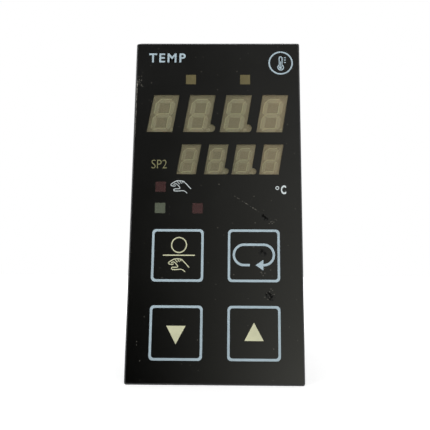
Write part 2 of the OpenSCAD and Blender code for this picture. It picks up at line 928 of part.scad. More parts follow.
// Plunger between the film and a switch stem, hollow behind with a cross of ribs
module key_plunger(i) {
    lip_side = key_side + 2 * (key_gap + key_lip);
    hollow = key_side - 2 * key_shell;
    lip_back = plate_back + key_lip_t;
    color("#d9d7cf") translate([key_places[i][0], 0, key_places[i][1]]) {
        difference() {
            union() {
                slab(film_back, lip_back) rounded(key_side, key_side, key_corner);
                slab(plate_back, lip_back) rounded(lip_side, lip_side, key_corner);
            }
            slab(film_back + key_shell, lip_back + over) difference() {
                square(hollow, center = true);
                square([key_rib, hollow], center = true);
                square([hollow, key_rib], center = true);
                circle(d = key_boss_d);
            }
        }
        rod(lip_back - lap, stem_top, key_boss_d);
    }
}

// Side boards

module board_outline() {
    polygon([
        [board_front, -board_h / 2], [tab_front, -board_h / 2], [tab_front, -tab_h / 2],
        [board_back - tab_bevel, -tab_h / 2], [board_back, tab_bevel - tab_h / 2],
        [board_back, tab_h / 2 - tab_bevel], [board_back - tab_bevel, tab_h / 2],
        [tab_front, tab_h / 2], [tab_front, board_h / 2], [board_front, board_h / 2]
    ]);
}

module side_board(side) {
    color("#2f5a3a") translate([side * board_x, 0, 0]) across(-board_t / 2, board_t / 2)
        difference() {
            board_outline();
            for (end = [-1, 1])
                translate([peg_y, end * peg_z]) circle(d = peg_d + 2 * peg_gap);
        }
}

// Logic board on the left
module main_board() {
    side_board(-1);
}

// Supply and output board on the right
module power_board() {
    side_board(1);
}

// Angled connector between the display board and a side board
module header(side) {
    color("#1b1c1e") mirror([side > 0 ? 1 : 0, 0, 0])
        translate([-board_in, display_back, -header_l / 2])
            difference() {
                cube([header_side, header_side, header_l]);
                for (i = [0:header_pins - 1])
                    translate([header_side / 2, header_side / 2, (i + 0.5) * header_l / header_pins])
                        cube([pin_hole, header_side + over, pin_hole], center = true);
            }
}

// Processor in a square package with one cut corner and leads bent under on all sides
module microcontroller() {
    side = mcu_size[0] / 2;
    color("#1d1e20") on_board(-1, mcu_place) {
        translate([0, 0, mcu_foot]) linear_extrude(mcu_size[2] - mcu_foot) polygon([
            [-side, -side], [side - mcu_cut, -side], [side, mcu_cut - side], [side, side],
            [-side, side]
        ]);
        for (turn = [0, 90, 180, 270], i = [0:mcu_leads - 1])
            rotate(turn) translate([(i - (mcu_leads - 1) / 2) * mcu_pitch, side, mcu_size[2] / 4])
                cube([lead_w, 2 * lead_t, mcu_size[2] / 2], center = true);
    }
}

// Socket of the program memory
module eprom_socket() {
    color("#202224") on_board(-1, eprom_place) difference() {
        block(socket_size);
        translate([0, 0, -over]) block([
            socket_size[0] - 2 * socket_rail, socket_size[1] - 2 * socket_rail,
            socket_size[2] + 2 * over
        ]);
    }
}

// Program memory with its round glass window
module eprom() {
    color("#6b5648") on_board(-1, eprom_place) translate([0, 0, socket_size[2]])
        difference() {
            block(eprom_size);
            translate([0, 0, eprom_size[2] - eprom_pit]) cylinder(d = eprom_glass, h = over);
            translate([0, -eprom_size[1] / 2, eprom_size[2] - eprom_pit])
                cylinder(d = eprom_notch, h = over);
        }
}

// Clock crystal in its steel can
module crystal() {
    color("#c4c6c8") on_board(-1, crystal_place) linear_extrude(crystal_size[2])
        stadium(crystal_size[0], crystal_size[1]);
}

// Row of input couplers, each on two rows of legs
module optocouplers() {
    color("#e6e4de") for (i = [0:opto_count - 1])
        on_board(-1, [opto_place[0], opto_place[1] + (i - (opto_count - 1) / 2) * opto_pitch]) {
            translate([0, 0, opto_foot]) block([opto_size[0], opto_size[1], opto_size[2] - opto_foot]);
            for (leg = [-1, 0, 1], edge = [-1, 1])
                translate([leg * leg_pitch, edge * opto_size[1] / 2, opto_size[2] / 4])
                    cube([lead_w, 2 * lead_t, opto_size[2] / 2], center = true);
        }
}

// Laminated core of the mains transformer
module transformer_core() {
    window = (core_size[0] - 4 * core_leg) / 2;
    color("#4a4d50") on_board(1, core_place)
        translate([0, core_size[1] / 4, 0]) rotate([90, 0, 0])
            linear_extrude(core_size[1] / 2) difference() {
                translate([-core_size[0] / 2, 0]) square([core_size[0], core_size[2]]);
                for (side = [-1, 1])
                    translate([side * (core_leg + window / 2) - window / 2, core_leg])
                        square([window, core_size[2] - 2 * core_leg]);
            }
}

// Winding round the core's middle leg
module transformer_coil() {
    window = (core_size[0] - 4 * core_leg) / 2;
    outer = 2 * (core_leg + window - coil_gap);
    inner = 2 * (core_leg + coil_gap);
    color("#b9803c") on_board(1, core_place) translate([0, 0, core_leg + coil_gap])
        linear_extrude(core_size[2] - 2 * core_leg - 2 * coil_gap) difference() {
            rounded(outer, core_size[1], coil_r);
            square([inner, core_size[1] / 2 + 2 * coil_gap], center = true);
        }
}

// Output relay, counted from the top: a cap over a base with a step, and a vent pip
module relay(i) {
    color("#e08a2e") on_board(1, [relay_y, relay_z[i - 1]]) {
        block([relay_size[0] - relay_r, relay_size[1] - relay_r, relay_size[2] / 4]);
        translate([0, 0, relay_foot])
            linear_extrude(relay_size[2] - relay_foot) rounded(relay_size[0], relay_size[1], relay_r);
        translate([0, relay_size[1] / 2 - pip_inset, relay_size[2] - lap])
            cylinder(d = pip_d, h = lap + pip_h);
    }
}

// Smoothing capacitors with a crimp groove near the board
module filter_capacitors() {
    color("#23396b") for (y = can_y) on_board(1, [y, can_z]) rotate_extrude() polygon([
        [0, 0], [can_d / 2, 0], [can_d / 2, crimp_h - crimp], [can_d / 2 - crimp, crimp_h],
        [can_d / 2, crimp_h + crimp], [can_d / 2, can_h - crimp], [can_d / 2 - crimp, can_h],
        [0, can_h]
    ]);
}

// Glass fuse with two metal caps
module mains_fuse() {
    color("#d5d8d6") on_board(1, fuse_place) translate([0, 0, fuse_lift + fuse_d / 2])
        rotate([90, 0, 0]) {
            cylinder(d = fuse_d - 2 * fuse_cap_t, h = fuse_l, center = true);
            for (end = [-1, 1])
                translate([0, 0, end * (fuse_l - fuse_cap_l) / 2])
                    cylinder(d = fuse_d, h = fuse_cap_l, center = true);
        }
}

// Clips that hold the fuse's caps
module fuse_clips() {
    color("#c7c9c6") for (end = [-1, 1])
        on_board(1, [fuse_place[0] + end * (fuse_l - fuse_cap_l) / 2, fuse_place[1]])
            rotate([90, 0, 0]) linear_extrude(clip_l, center = true) difference() {
                translate([-fuse_d / 2 - clip_t, 0])
                    square([fuse_d + 2 * clip_t, fuse_lift + fuse_d]);
                translate([0, fuse_lift + fuse_d / 2]) circle(d = fuse_d);
                translate([-fuse_d / 4, fuse_lift + fuse_d / 2]) square([fuse_d / 2, fuse_d]);
            }
}

// Finned sink that cools the regulator
module heat_sink() {
    color("#a9acae") on_board(1, sink_place) linear_extrude(sink_size[2]) {
        square([sink_size[0], sink_size[1]], center = true);
        for (i = [0:sink_fins - 1])
            translate([(i / (sink_fins - 1) - 0.5) * (sink_size[0] - sink_fin_t),
                (sink_size[1] + sink_fin_h) / 2 - lap])
                square([sink_fin_t, sink_fin_h + 2 * lap], center = true);
    }
}

// Regulator: a metal tab against the sink and a moulded body on the tab
module voltage_regulator() {
    color("#1d1e20") on_board(1, sink_place)
        translate([0, -sink_size[1] / 2 - tab_size[1] / 2, 0]) {
            block(tab_size);
            translate([0, lap - (tab_size[1] + chip_size[1]) / 2, 0]) block(chip_size);
        }
}

housing();
panel_gasket();
rear_terminal_block();
terminal_screws();
wire_clamps();
contact_springs();
front_bezel();
front_overlay();
display_windows();
yellow_windows();
red_windows();
green_window();
key_frames();
key_symbols();
display_board();
display_screws();
upper_digit(1);  // upper_digit_1
upper_digit(2);  // upper_digit_2
upper_digit(3);  // upper_digit_3
upper_digit(4);  // upper_digit_4
lower_digit(1);  // lower_digit_1
lower_digit(2);  // lower_digit_2
lower_digit(3);  // lower_digit_3
lower_digit(4);  // lower_digit_4
segment_fillers();
lamp(0, "#b9a050");  // output_lamp_1
lamp(1, "#b9a050");  // output_lamp_2
lamp(2, "#7a2c30");  // manual_lamp
lamp(3, "#7f9a70");  // run_lamp
lamp(4, "#7a2c30");  // alarm_lamp
switch_body(0);  // switch_auto_manual
switch_body(1);  // switch_select
switch_body(2);  // switch_down
switch_body(3);  // switch_up
switch_stem(0);  // stem_auto_manual
switch_stem(1);  // stem_select
switch_stem(2);  // stem_down
switch_stem(3);  // stem_up
key_plunger(0);  // key_auto_manual
key_plunger(1);  // key_select
key_plunger(2);  // key_down
key_plunger(3);  // key_up
main_board();
power_board();
header(-1);  // main_header
header(1);  // power_header
microcontroller();
eprom();
eprom_socket();
crystal();
optocouplers();
transformer_core();
transformer_coil();
relay(1);  // relay_1
relay(2);  // relay_2
filter_capacitors();
mains_fuse();
fuse_clips();
heat_sink();
voltage_regulator();
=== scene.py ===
# %% [markdown]
# # A plug-in temperature controller in a small studio
# The rigid pieces come from the CAD frame: the sleeve, the bezel, the printed film, the digits,
# the boards and the parts on them. This lesson gives each of them its finish, and adds what is
# printed, soldered and glued on: symbols, numbers, copper, pads and small parts.
# Everything is in metres in the frame of the CAD part. X runs to the right of someone facing
# the front, Y runs back into the panel and Z runs up, so a size of the real thing in
# millimetres is multiplied by MM once, where a mesh is made.

# %% Load the frame
import json
import math

import bpy
import numpy as np
from mathutils import Matrix, Vector


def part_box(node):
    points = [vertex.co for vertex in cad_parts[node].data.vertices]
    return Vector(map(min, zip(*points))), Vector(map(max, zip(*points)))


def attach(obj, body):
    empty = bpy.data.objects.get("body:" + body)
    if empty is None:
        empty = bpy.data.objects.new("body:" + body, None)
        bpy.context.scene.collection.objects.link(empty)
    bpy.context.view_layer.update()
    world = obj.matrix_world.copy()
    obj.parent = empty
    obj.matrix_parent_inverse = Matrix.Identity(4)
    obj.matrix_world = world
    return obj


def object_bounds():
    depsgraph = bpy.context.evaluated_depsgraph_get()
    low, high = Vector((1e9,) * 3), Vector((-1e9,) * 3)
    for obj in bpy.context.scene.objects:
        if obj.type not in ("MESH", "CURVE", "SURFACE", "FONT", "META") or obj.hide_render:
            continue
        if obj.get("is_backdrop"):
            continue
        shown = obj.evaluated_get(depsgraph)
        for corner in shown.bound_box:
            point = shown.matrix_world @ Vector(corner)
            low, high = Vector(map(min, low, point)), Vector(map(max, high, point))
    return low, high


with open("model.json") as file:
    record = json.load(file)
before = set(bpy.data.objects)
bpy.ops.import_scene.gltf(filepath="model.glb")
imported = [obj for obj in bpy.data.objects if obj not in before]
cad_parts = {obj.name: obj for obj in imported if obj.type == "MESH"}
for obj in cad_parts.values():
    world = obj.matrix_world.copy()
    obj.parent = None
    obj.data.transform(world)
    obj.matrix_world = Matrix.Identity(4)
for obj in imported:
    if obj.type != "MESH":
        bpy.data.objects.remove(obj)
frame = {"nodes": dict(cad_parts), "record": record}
cad_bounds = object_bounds()
MM = 0.001


def box_mm(node):
    """Lowest and highest corner of a CAD node in millimetres, as two arrays."""
    low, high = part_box(node)
    return np.array(low) / MM, np.array(high) / MM


FRONT_Y = box_mm("front_overlay")[0][1]
bezel_low, bezel_high = box_mm("front_bezel")
FLOOR_Z = bezel_low[2]
print("film front at y", FRONT_Y.round(2), "mm, floor at z", FLOOR_Z.round(2), "mm")

# %% [markdown]
# ## Camera
# The camera stands close by, a little below the middle and tipped up, which is why the front
# grows narrower towards the top. A longer lens from further away would give parallel sides.
# The camera's own axes are written as three columns, right, up and back, so that the small
# turns about all three axes stay together. The lens is also shifted a little, which moves the
# part in the view without tipping the camera.

# %% Make the camera
camera = bpy.data.objects.new("camera", bpy.data.cameras.new("camera"))
camera.data.sensor_width = 36
camera.data.lens = 46.05
camera.data.shift_x = -0.0364
camera.data.shift_y = -0.1041
camera.data.clip_start = 0.01
eye = (6.18, -164.93, -18.62)
right = (0.9999, 0.0133, 0.0058)
up = (-0.0033, -0.1827, 0.9832)
back = (0.0141, -0.9831, -0.1826)
camera.matrix_world = Matrix.LocRotScale(
    [c * MM for c in eye], Matrix((right, up, back)).transposed().to_quaternion(), None
)
bpy.context.scene.collection.objects.link(camera)
bpy.context.scene.camera = camera
bpy.context.scene.view_settings.view_transform = "Standard"
print("camera at", eye, "mm, lens", camera.data.lens)

# %% [markdown]
# ## A short way to write materials
# A finish is a shader and a few nodes that vary it. Writing each node and link in full hides
# the idea, so this class has one call for adding a node. A value that comes from another node
# is linked, and any other value is written on the socket. Patterns read the object's own
# coordinates in millimetres, so that a grain of 0.2 mm is written as 0.2 mm. Every finish is
# kept under its name, and the pieces ask for it by that name later.

# %% Node helper


def shade(red, green, blue):
    """A colour given as 0 to 255 for the screen, turned to linear light for the shaders."""
    screen = np.array([red, green, blue]) / 255
    linear = np.where(screen <= 0.04045, screen / 12.92, ((screen + 0.055) / 1.055) ** 2.4)
    return tuple(float(c) for c in linear) + (1.0,)


def toned(colour, share):
    """A colour with a share of its light, less than 1 for darker, and never more than white."""
    return tuple(min(c * share, 1) for c in colour[:3]) + (1,)


def pick(sockets, name):
    """The enabled socket with that name, written with underscores for spaces, or None."""
    wanted = name.replace("_", " ")
    return next((s for s in sockets if s.enabled and s.name.lower() == wanted), None)


finishes = {}  # every finish, under its name


class Finish:
    """One material with its shader, and short calls that add nodes and join them."""

    def __init__(self, name, **shader):
        finishes[name] = self
        self.material = bpy.data.materials.new(name)
        self.material.use_nodes = True
        self.tree = self.material.node_tree
        self.shader = self.tree.nodes["Principled BSDF"]
        self.set(**shader)
        place = self.add("TexCoord").outputs["Object"]
        self.mm = self.add("VectorMath", place, operation="SCALE", scale=1 / MM).outputs[0]

    def feed(self, socket, value):
        """Links a value that comes from another node, or writes it on the socket."""
        if isinstance(value, bpy.types.NodeSocket):
            self.tree.links.new(value, socket)
        else:
            socket.default_value = value

    def set(self, **values):
        """Sets inputs of the shader by their names."""
        for name, value in values.items():
            self.feed(pick(self.shader.inputs, name), value)

    def add(self, kind, *values, **named):
        """Adds a node: names set its inputs or its settings, values fill its inputs in order."""
        node = self.tree.nodes.new("ShaderNode" + kind)
        for name, value in named.items():
            socket = pick(node.inputs, name)
            if socket:
                self.feed(socket, value)
            else:
                setattr(node, name, value)
        for socket, value in zip([s for s in node.inputs if s.enabled], values):
            self.feed(socket, value)
        return node

    def math(self, operation, *values, clamp=False):
        """One step of arithmetic, with the result kept from 0 to 1 if asked for."""
        return self.add("Math", *values, operation=operation, use_clamp=clamp).outputs[0]

    def times(self, *values):
        """All the values multiplied together."""
        product = values[0]
        for value in values[1:]:
            product = self.math("MULTIPLY", product, value)
        return product

    def linear(self, value, slope, start):
        """The value times a slope, plus a start."""
        return self.math("MULTIPLY_ADD", value, slope, start)

    def vector(self, operation, *values):
        """One step of arithmetic on vectors, which gives a vector or a number."""
        node = self.add("VectorMath", *values, operation=operation)
        return next(s for s in node.outputs if s.enabled)

    def noise(self, grain, detail=2, place=None):
        """Soft random values from 0 to 1, with lumps about grain millimetres wide."""
        return self.add("TexNoise", place or self.mm, scale=1 / grain, detail=detail).outputs[0]

    def cells(self, size):
        """Random points about size millimetres apart in X and Z, so that they all lie in the
        front: the distance from the nearest one, and a random number of its own from 0 to 1."""
        place = self.add("CombineXYZ", self.axis("X"), self.axis("Z")).outputs[0]
        node = self.add("TexVoronoi", place, scale=1 / size, voronoi_dimensions="2D")
        number = self.add("SeparateColor", node.outputs["Color"]).outputs[0]
        return node.outputs["Distance"], number

    def band(self, value, low, high):
        """Rises smoothly from 0 at low to 1 at high."""
        node = self.add("MapRange", interpolation_type="SMOOTHSTEP", value=value,
                        from_min=low, from_max=high)
        return node.outputs[0]

    def mix(self, share, first, second):
        """From the first colour at a share of 0 to the second at 1."""
        node = self.add("Mix", data_type="RGBA", factor=share, a=first, b=second)
        return next(s for s in node.outputs if s.enabled)

    def stretched(self, angle, size):
        """Coordinates turned about Y by an angle in degrees, then divided by three sizes."""
        turned = self.add("Mapping", self.mm, rotation=(0, math.radians(angle), 0))
        return self.add("Mapping", turned.outputs[0], scale=tuple(1 / s for s in size)).outputs[0]

    def axis(self, name):
        """One coordinate in millimetres, X, Y or Z."""
        return self.add("SeparateXYZ", self.mm).outputs[name]

    def bump(self, height, depth, normal=None):
        """A normal from a height of 0 to 1, with the depth of the relief in millimetres."""
        node = self.add("Bump", height=height, distance=depth * MM)
        if normal:
            self.feed(node.inputs["Normal"], normal)
        return node.outputs[0]

    def rounded(self, radius):
        """A normal that rounds every sharp edge by a radius in millimetres."""
        return self.add("Bevel", radius=radius * MM, samples=6).outputs[0]

    def hollows(self, depth):
        """1 in the open, falling towards 0 in corners and slots about depth millimetres wide."""
        return self.add("AmbientOcclusion", distance=depth * MM, samples=6).outputs["AO"]

    def edges(self, soft_normal):
        """0 on flat faces, rising towards 1 where the rounded normal leaves the real one."""
        flat = self.add("NewGeometry").outputs["Normal"]
        return self.math("SUBTRACT", 1, self.vector("DOT_PRODUCT", flat, soft_normal))


print("grey 128 is", round(shade(128, 128, 128)[0], 3), "in linear light")

# %% [markdown]
# ## Floor, room and lamps
# A small part shows well on white paper. The floor catches a soft shadow, and for the camera
# and for reflections it is lifted to white by a little light of its own. The room is even: it
# lights the part less than it shows, because the lamps give the rest.
# The film on the front mirrors whatever stands before it, and a white room would turn it
# grey. A studio hangs a cloth there that is dyed from black to grey. Here two cards do it, one
# upright behind the camera and one on the table, and only reflections see them. Where on the
# film is a point of the card seen? The film is a flat mirror at a distance d from the eye.
# A point that lies t times d further from the film than the film itself is seen at the place
# (point + t * eye) / (1 + t). From there, u runs from the left to the right of the film and v
# from its top to its bottom, and the cloth's grey is written in u and v: nearly even at the
# top, and from black to white at the bottom.

# %% Make the studio


def stage_plane(name, low, high, height, material, across="XY"):
    """A flat rectangle between two corners in metres, marked as stage."""
    (a, b), (c, d) = low, high
    corners = {
        "XY": [(a, b, height), (c, b, height), (c, d, height), (a, d, height)],
        "XZ": [(a, height, b), (c, height, b), (c, height, d), (a, height, d)],
    }[across]
    mesh = bpy.data.meshes.new(name)
    mesh.from_pydata(corners, [], [(0, 1, 2, 3)])
    plane = bpy.data.objects.new(name, mesh)
    bpy.context.scene.collection.objects.link(plane)
    mesh.materials.append(material)
    plane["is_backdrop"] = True
    return plane


def seen_directly(finish):
    """1 for camera, glossy and transmission rays, 0 for the rays that light things."""
    path = finish.add("LightPath").outputs
    either = finish.math("MAXIMUM", path["Is Camera Ray"], path["Is Glossy Ray"])
    return finish.math("MAXIMUM", either, path["Is Transmission Ray"])


def make_floor():
    """White paper: it keeps its shadow near the part and is plain white further away."""
    paper = Finish("paper_floor", base_color=(0.8, 0.8, 0.8, 1), roughness=0.9,
                   specular_ior_level=0.1, emission_color=(1, 1, 1, 1))
    away = paper.band(paper.vector("LENGTH", paper.mm), 90.0, 420.0)
    paper.set(emission_strength=paper.times(seen_directly(paper), paper.linear(away, 0.6, 0.42)))
    return stage_plane("floor", (-4, -4), (4, 4), (FLOOR_Z - 0.05) * MM, paper.material)


def graded_cloth():
    """Cloth whose grey depends on where it is seen in the film, as told above."""
    cloth = Finish("graded_cloth", base_color=(0, 0, 0, 1), roughness=1, specular_ior_level=0,
                   emission_color=(1, 1, 0.89, 1))
    distance = FRONT_Y - eye[1]
    t = cloth.math("DIVIDE", cloth.math("SUBTRACT", FRONT_Y, cloth.axis("Y")), distance)
    behind = cloth.add("VectorMath", eye, operation="SCALE", scale=t).outputs[0]
    reach = cloth.math("DIVIDE", 1.0, cloth.math("ADD", t, 1.0))
    seen = cloth.add("VectorMath", cloth.vector("ADD", cloth.mm, behind), operation="SCALE", scale=reach)
    place = cloth.add("SeparateXYZ", seen.outputs[0]).outputs
    across = cloth.add("MapRange", value=place["X"], from_min=bezel_low[0], from_max=bezel_high[0])
    down = cloth.add("MapRange", value=place["Z"], from_min=bezel_high[2], from_max=bezel_low[2])
    u, v = across.outputs[0], down.outputs[0]
    top = cloth.linear(u, 0.14, 0.02)
    low = cloth.linear(cloth.math("POWER", u, 1.6), 1.25, -0.05)
    cloth.set(emission_strength=cloth.add("Mix", factor=v, a=top, b=low).outputs[0])
    return cloth.material


def make_card(name, low, high, height, cloth, across):
    """A plane that only reflections see."""
    card = stage_plane(name, low, high, height, cloth, across)
    card.visible_camera = card.visible_diffuse = card.visible_shadow = False
    card.visible_transmission = False


def make_lamp(name, place, width, watts):
    """A square lamp of a width in metres that faces the part."""
    lamp = bpy.data.objects.new(name, bpy.data.lights.new(name, "AREA"))
    lamp.data.size = width
    lamp.data.energy = watts
    lamp.rotation_euler = Vector(place).to_track_quat("Z", "Y").to_euler()
    lamp.location = place
    bpy.context.scene.collection.objects.link(lamp)


def make_room(strength):
    """A white room for the eye and for reflections, dimmer for the light that it gives."""
    world = bpy.data.worlds.new("room")
    bpy.context.scene.world = world
    world.use_nodes = True
    tree = world.node_tree
    path = tree.nodes.new("ShaderNodeLightPath").outputs
    level = path["Is Camera Ray"]
    for name in ("Is Glossy Ray", "Is Transmission Ray"):
        either = tree.nodes.new("ShaderNodeMath")
        either.operation = "MAXIMUM"
        tree.links.new(level, either.inputs[0])
        tree.links.new(path[name], either.inputs[1])
        level = either.outputs[0]
    lift = tree.nodes.new("ShaderNodeMapRange")
    lift.inputs["To Min"].default_value = strength
    tree.links.new(level, lift.inputs["Value"])
    tree.nodes["Background"].inputs["Color"].default_value = (1, 1, 1, 1)
    tree.links.new(lift.outputs[0], tree.nodes["Background"].inputs["Strength"])


make_floor()
make_room(0.5)
graded = graded_cloth()
make_card("front_card", (-1.6, -0.1), (1.6, 1.6), -0.7, graded, "XZ")
make_card("table_card", (-1.6, -0.7), (1.6, (FRONT_Y - 0.5) * MM), (FLOOR_Z + 0.05) * MM, graded, "XY")
make_lamp("key_lamp", (-0.7, -0.65, 0.75), 0.5, 5.2)
make_lamp("fill_lamp", (0.55, -0.9, 0.5), 0.5, 4.4)
make_lamp("top_lamp", (0.1, 0.45, 1.0), 0.6, 4.5)
make_lamp("rim_lamp", (-0.8, -0.03, 0.15), 0.3, 1.2)

# %% [markdown]
# ## Moulded plastics
# Sleeve, bezel and terminal block are injection moulded. The tool's walls are spark eroded, so
# the plastic has a fine even grain, and its corners are never sharp. The grain is a bump of
# small noise, and the corners are rounded by a Bevel node, which costs no faces. Handling
# polishes and greys the edges, so the same node tells where an edge is. On the bezel's left
# edge the pale edge colour is a painted highlight, where light from the left would catch it.

# %% Plastic finishes


def moulded(name, colour, worn, grain=0.22, relief=0.012, rough=0.5, radius=0.18, wear=0.5,
            where=None):
    """Moulded plastic: colour, colour of rubbed edges, grain and relief in millimetres. The pale
    edges can be kept to one place, by a function that gives them as 0 to 1; the bezel keeps them
    to a painted highlight on its left edge."""
    finish = Finish(name)
    cloud = finish.noise(9, 4)
    fine = finish.noise(grain, 2)
    soft = finish.rounded(radius)
    edge_wear_and_highlight = finish.band(finish.edges(soft), 0.02, 0.35)
    patchy = finish.band(finish.noise(2.4, 5), 0.42, 0.68)
    edge_wear_and_highlight = finish.times(edge_wear_and_highlight, patchy, wear)
    # where() limits the pale edges; on the bezel they are a painted highlight down its left edge
    if where:
        edge_wear_and_highlight = finish.times(edge_wear_and_highlight, where(finish))
    tone = finish.mix(cloud, toned(colour, 0.85), toned(colour, 1.18))
    finish.set(
        base_color=finish.mix(edge_wear_and_highlight, tone, worn),
        roughness=finish.linear(cloud, 0.16, rough - 0.08),
        normal=finish.bump(fine, relief, soft),
    )


def left_edge_highlight(finish):
    """Painted highlight: the bezel's left edge is painted pale from its middle up to the corner,
    where light from the left would catch it, with only a little edge wear elsewhere.
    """
    left = finish.band(finish.axis("X"), -23.0, -23.6)
    upper = finish.band(finish.axis("Z"), -4.0, 26.0)
    return finish.linear(finish.times(left, upper), 0.92, 0.08)


moulded("case_plastic", shade(47, 49, 52), shade(84, 86, 88))
# the bezel's pale edge colour is a painted highlight down its left edge, with a little wear elsewhere
moulded("bezel_plastic", shade(33, 34, 36), shade(150, 152, 152), grain=0.15, relief=0.008,
        radius=0.12, wear=1.0, where=left_edge_highlight)
moulded("terminal_plastic", shade(34, 36, 40), shade(70, 72, 75), relief=0.006, rough=0.38)
print("plastics:", [name for name in finishes if name.endswith("plastic")])

# %% [markdown]
# ## The printed film
# The front is one polyester film, printed from behind: black, with clear and tinted fields.
# Its face is satin, so what it mirrors is soft. Years of fingers leave dust, hairlines and a
# few deeper marks, and most of them catch light as thin pale lines. Hairlines are noise that
# is stretched about fifty times along one direction and cut to a narrow band. Dust is a field
# of random points, of which a share holds a speck, and where that share falls off from a
# centre the specks make a worn patch. A single scratch or smudge is drawn as the distance from
# a segment between two points.

# %% Film finishes


def segment(finish, start, end):
    """Distance in millimetres from a segment between two points given as X and Z."""
    a = np.array([start[0], 0, start[1]])
    d = np.array([end[0], 0, end[1]]) - a
    flat = finish.vector("MULTIPLY", finish.mm, (1, 0, 1))
    away = finish.vector("SUBTRACT", flat, tuple(a))
    along = finish.math("DIVIDE", finish.vector("DOT_PRODUCT", away, tuple(d)), float(d @ d), clamp=True)
    step = finish.add("VectorMath", tuple(d), operation="SCALE", scale=along).outputs[0]
    return finish.vector("LENGTH", finish.vector("SUBTRACT", away, step))


def mark(finish, start, end, width, strength):
    """A scratch, a spot or a painted highlight line: 1 in its middle, broken up along its length,
    times a strength.
    """
    near = finish.band(segment(finish, start, end), width, width * 0.3)
    broken = finish.band(finish.noise(0.7, 4), 0.3, 0.6)
    return finish.times(near, broken, strength)


def total(finish, values):
    """The sum of several values, clamped to 1."""
    result = values[0]
    for value in values[1:]:
        result = finish.math("ADD", result, value, clamp=True)
    return result


def hairlines(finish, angle, length, level):
    """Fine scratches at one angle: stretched noise, cut to a narrow band, in patches."""
    place = finish.stretched(angle, (length, 1, 0.09))
    ridge = finish.band(finish.noise(1, 1, place), level, level + 0.05)
    patch = finish.band(finish.noise(5, 2), 0.5, 0.66)
    return finish.times(ridge, patch)


def dust(finish, size, share, radius):
    """Specks: cells of a size in millimetres, of which a share holds a speck of a radius."""
    distance, number = finish.cells(size)
    kept = finish.math("LESS_THAN", number, share)
    return finish.times(kept, finish.band(distance, radius / size, radius / size * 0.4))


def film_wear(finish):
    """What lies on the whole film: hairlines and dust, from 0 to 1."""
    lines = [hairlines(finish, angle, length, 0.735) for angle, length in ((8, 5), (-38, 4), (74, 6))]
    specks = [dust(finish, 2.2, 0.08, 0.11), dust(finish, 5.0, 0.20, 0.17)]
    return total(finish, [finish.times(total(finish, lines), 0.25)] + specks)


def satin_film(name, colour, clear=0.0, lighter_right=None):
    """Printed film: its colour, how much light it lets through, and, if given, a lighter colour
    painted towards its right side as painted light, where more light falls. Gives back the
    finish and its wear from 0 to 1."""
    finish = Finish(name, alpha=1 - clear, specular_ior_level=0.5)
    if lighter_right:
        # painted light: the colour turns lighter towards the right, where more light falls
        colour = finish.mix(finish.band(finish.axis("X"), 4.0, 15.0), colour, lighter_right)
    wear = film_wear(finish)
    haze = finish.noise(14, 3)
    finish.set(
        base_color=finish.mix(finish.times(wear, 0.16), colour, shade(176, 172, 160)),
        roughness=finish.linear(haze, 0.1, 0.25),
        normal=finish.bump(finish.noise(0.35, 2), 0.0012),
    )
    return finish, wear


FILM_BLACK = shade(5, 5, 4)


def speckled(finish, centre, radius, share):
    """A worn patch: small pale specks whose number falls off from a centre in X and Z."""
    away = segment(finish, centre, (centre[0] + 0.01, centre[1]))
    distance, number = finish.cells(0.42)
    kept = finish.math("LESS_THAN", number, finish.times(finish.band(away, radius, 0.0), share))
    return finish.times(kept, finish.band(distance, 0.34, 0.12))


# centre in X and Z, radius, and share of the points that hold a speck
PATCHES = [((15.8, -4.9), 1.9, 0.45), ((14.6, -24.4), 2.6, 0.3), ((-23.2, 36.0), 2.4, 0.8),
           ((13.2, -18.6), 1.4, 0.3), ((-20.9, -37.0), 2.2, 0.1)]
# two ends in X and Z, width and strength
SMUDGES = [((13.3, -3.0), (13.9, -3.8), 1.0, 0.85), ((14.5, -24.6), (15.2, -25.2), 1.3, 0.85),
           ((12.6, -13.0), (13.3, -13.4), 1.3, 0.65)]


def black_film():
    """The black field, with its own marks: a dotted scratch, worn patches, a pale line at the left
    edge that is a painted highlight, and dark smudges that are duller than the film."""
    finish, wear = satin_film("film_black", FILM_BLACK)
    scratch = mark(finish, (4.2, 3.0), (13.0, -2.6), 0.12, 1)
    dots = finish.band(finish.noise(0.5, 2), 0.5, 0.62)
    worn = total(finish, [speckled(finish, *patch) for patch in PATCHES])
    pale = total(finish, [
        finish.times(scratch, dots, 0.3),
        finish.times(worn, 0.3),
        # painted highlight: a pale line down the left edge, where light from the left catches it
        mark(finish, (-23.5, 36.0), (-23.62, 19.5), 0.22, 0.62),
    ])
    dark = total(finish, [mark(finish, *smudge) for smudge in SMUDGES])
    base = finish.mix(finish.math("ADD", finish.times(wear, 0.2), pale, clamp=True),
                      FILM_BLACK, shade(190, 186, 172))
    satin = finish.shader.inputs["Roughness"].links[0].from_socket
    finish.set(base_color=finish.mix(dark, base, shade(3, 3, 3)),
               roughness=finish.math("ADD", satin, dark, clamp=True),
               specular_tint=finish.mix(dark, (1, 1, 1, 1), (0.1, 0.1, 0.1, 1)))


black_film()
# the clear film is painted lighter towards its right, where more light falls
satin_film("film_clear", shade(100, 95, 72), clear=0.7, lighter_right=shade(126, 114, 88))
satin_film("film_yellow", shade(103, 95, 63), clear=0.22)
satin_film("film_red", shade(65, 40, 39), clear=0.22)
satin_film("film_green", shade(88, 94, 79), clear=0.22)
print("films:", [name for name in finishes if name.startswith("film")])

# %% [markdown]
# ## Prints
# Frames, triangles, symbols and words are screen printed in a few light inks. Ink is not
# perfectly even: it thins a little here and there and picks up grime, which a slow noise gives.

# %% Print finishes


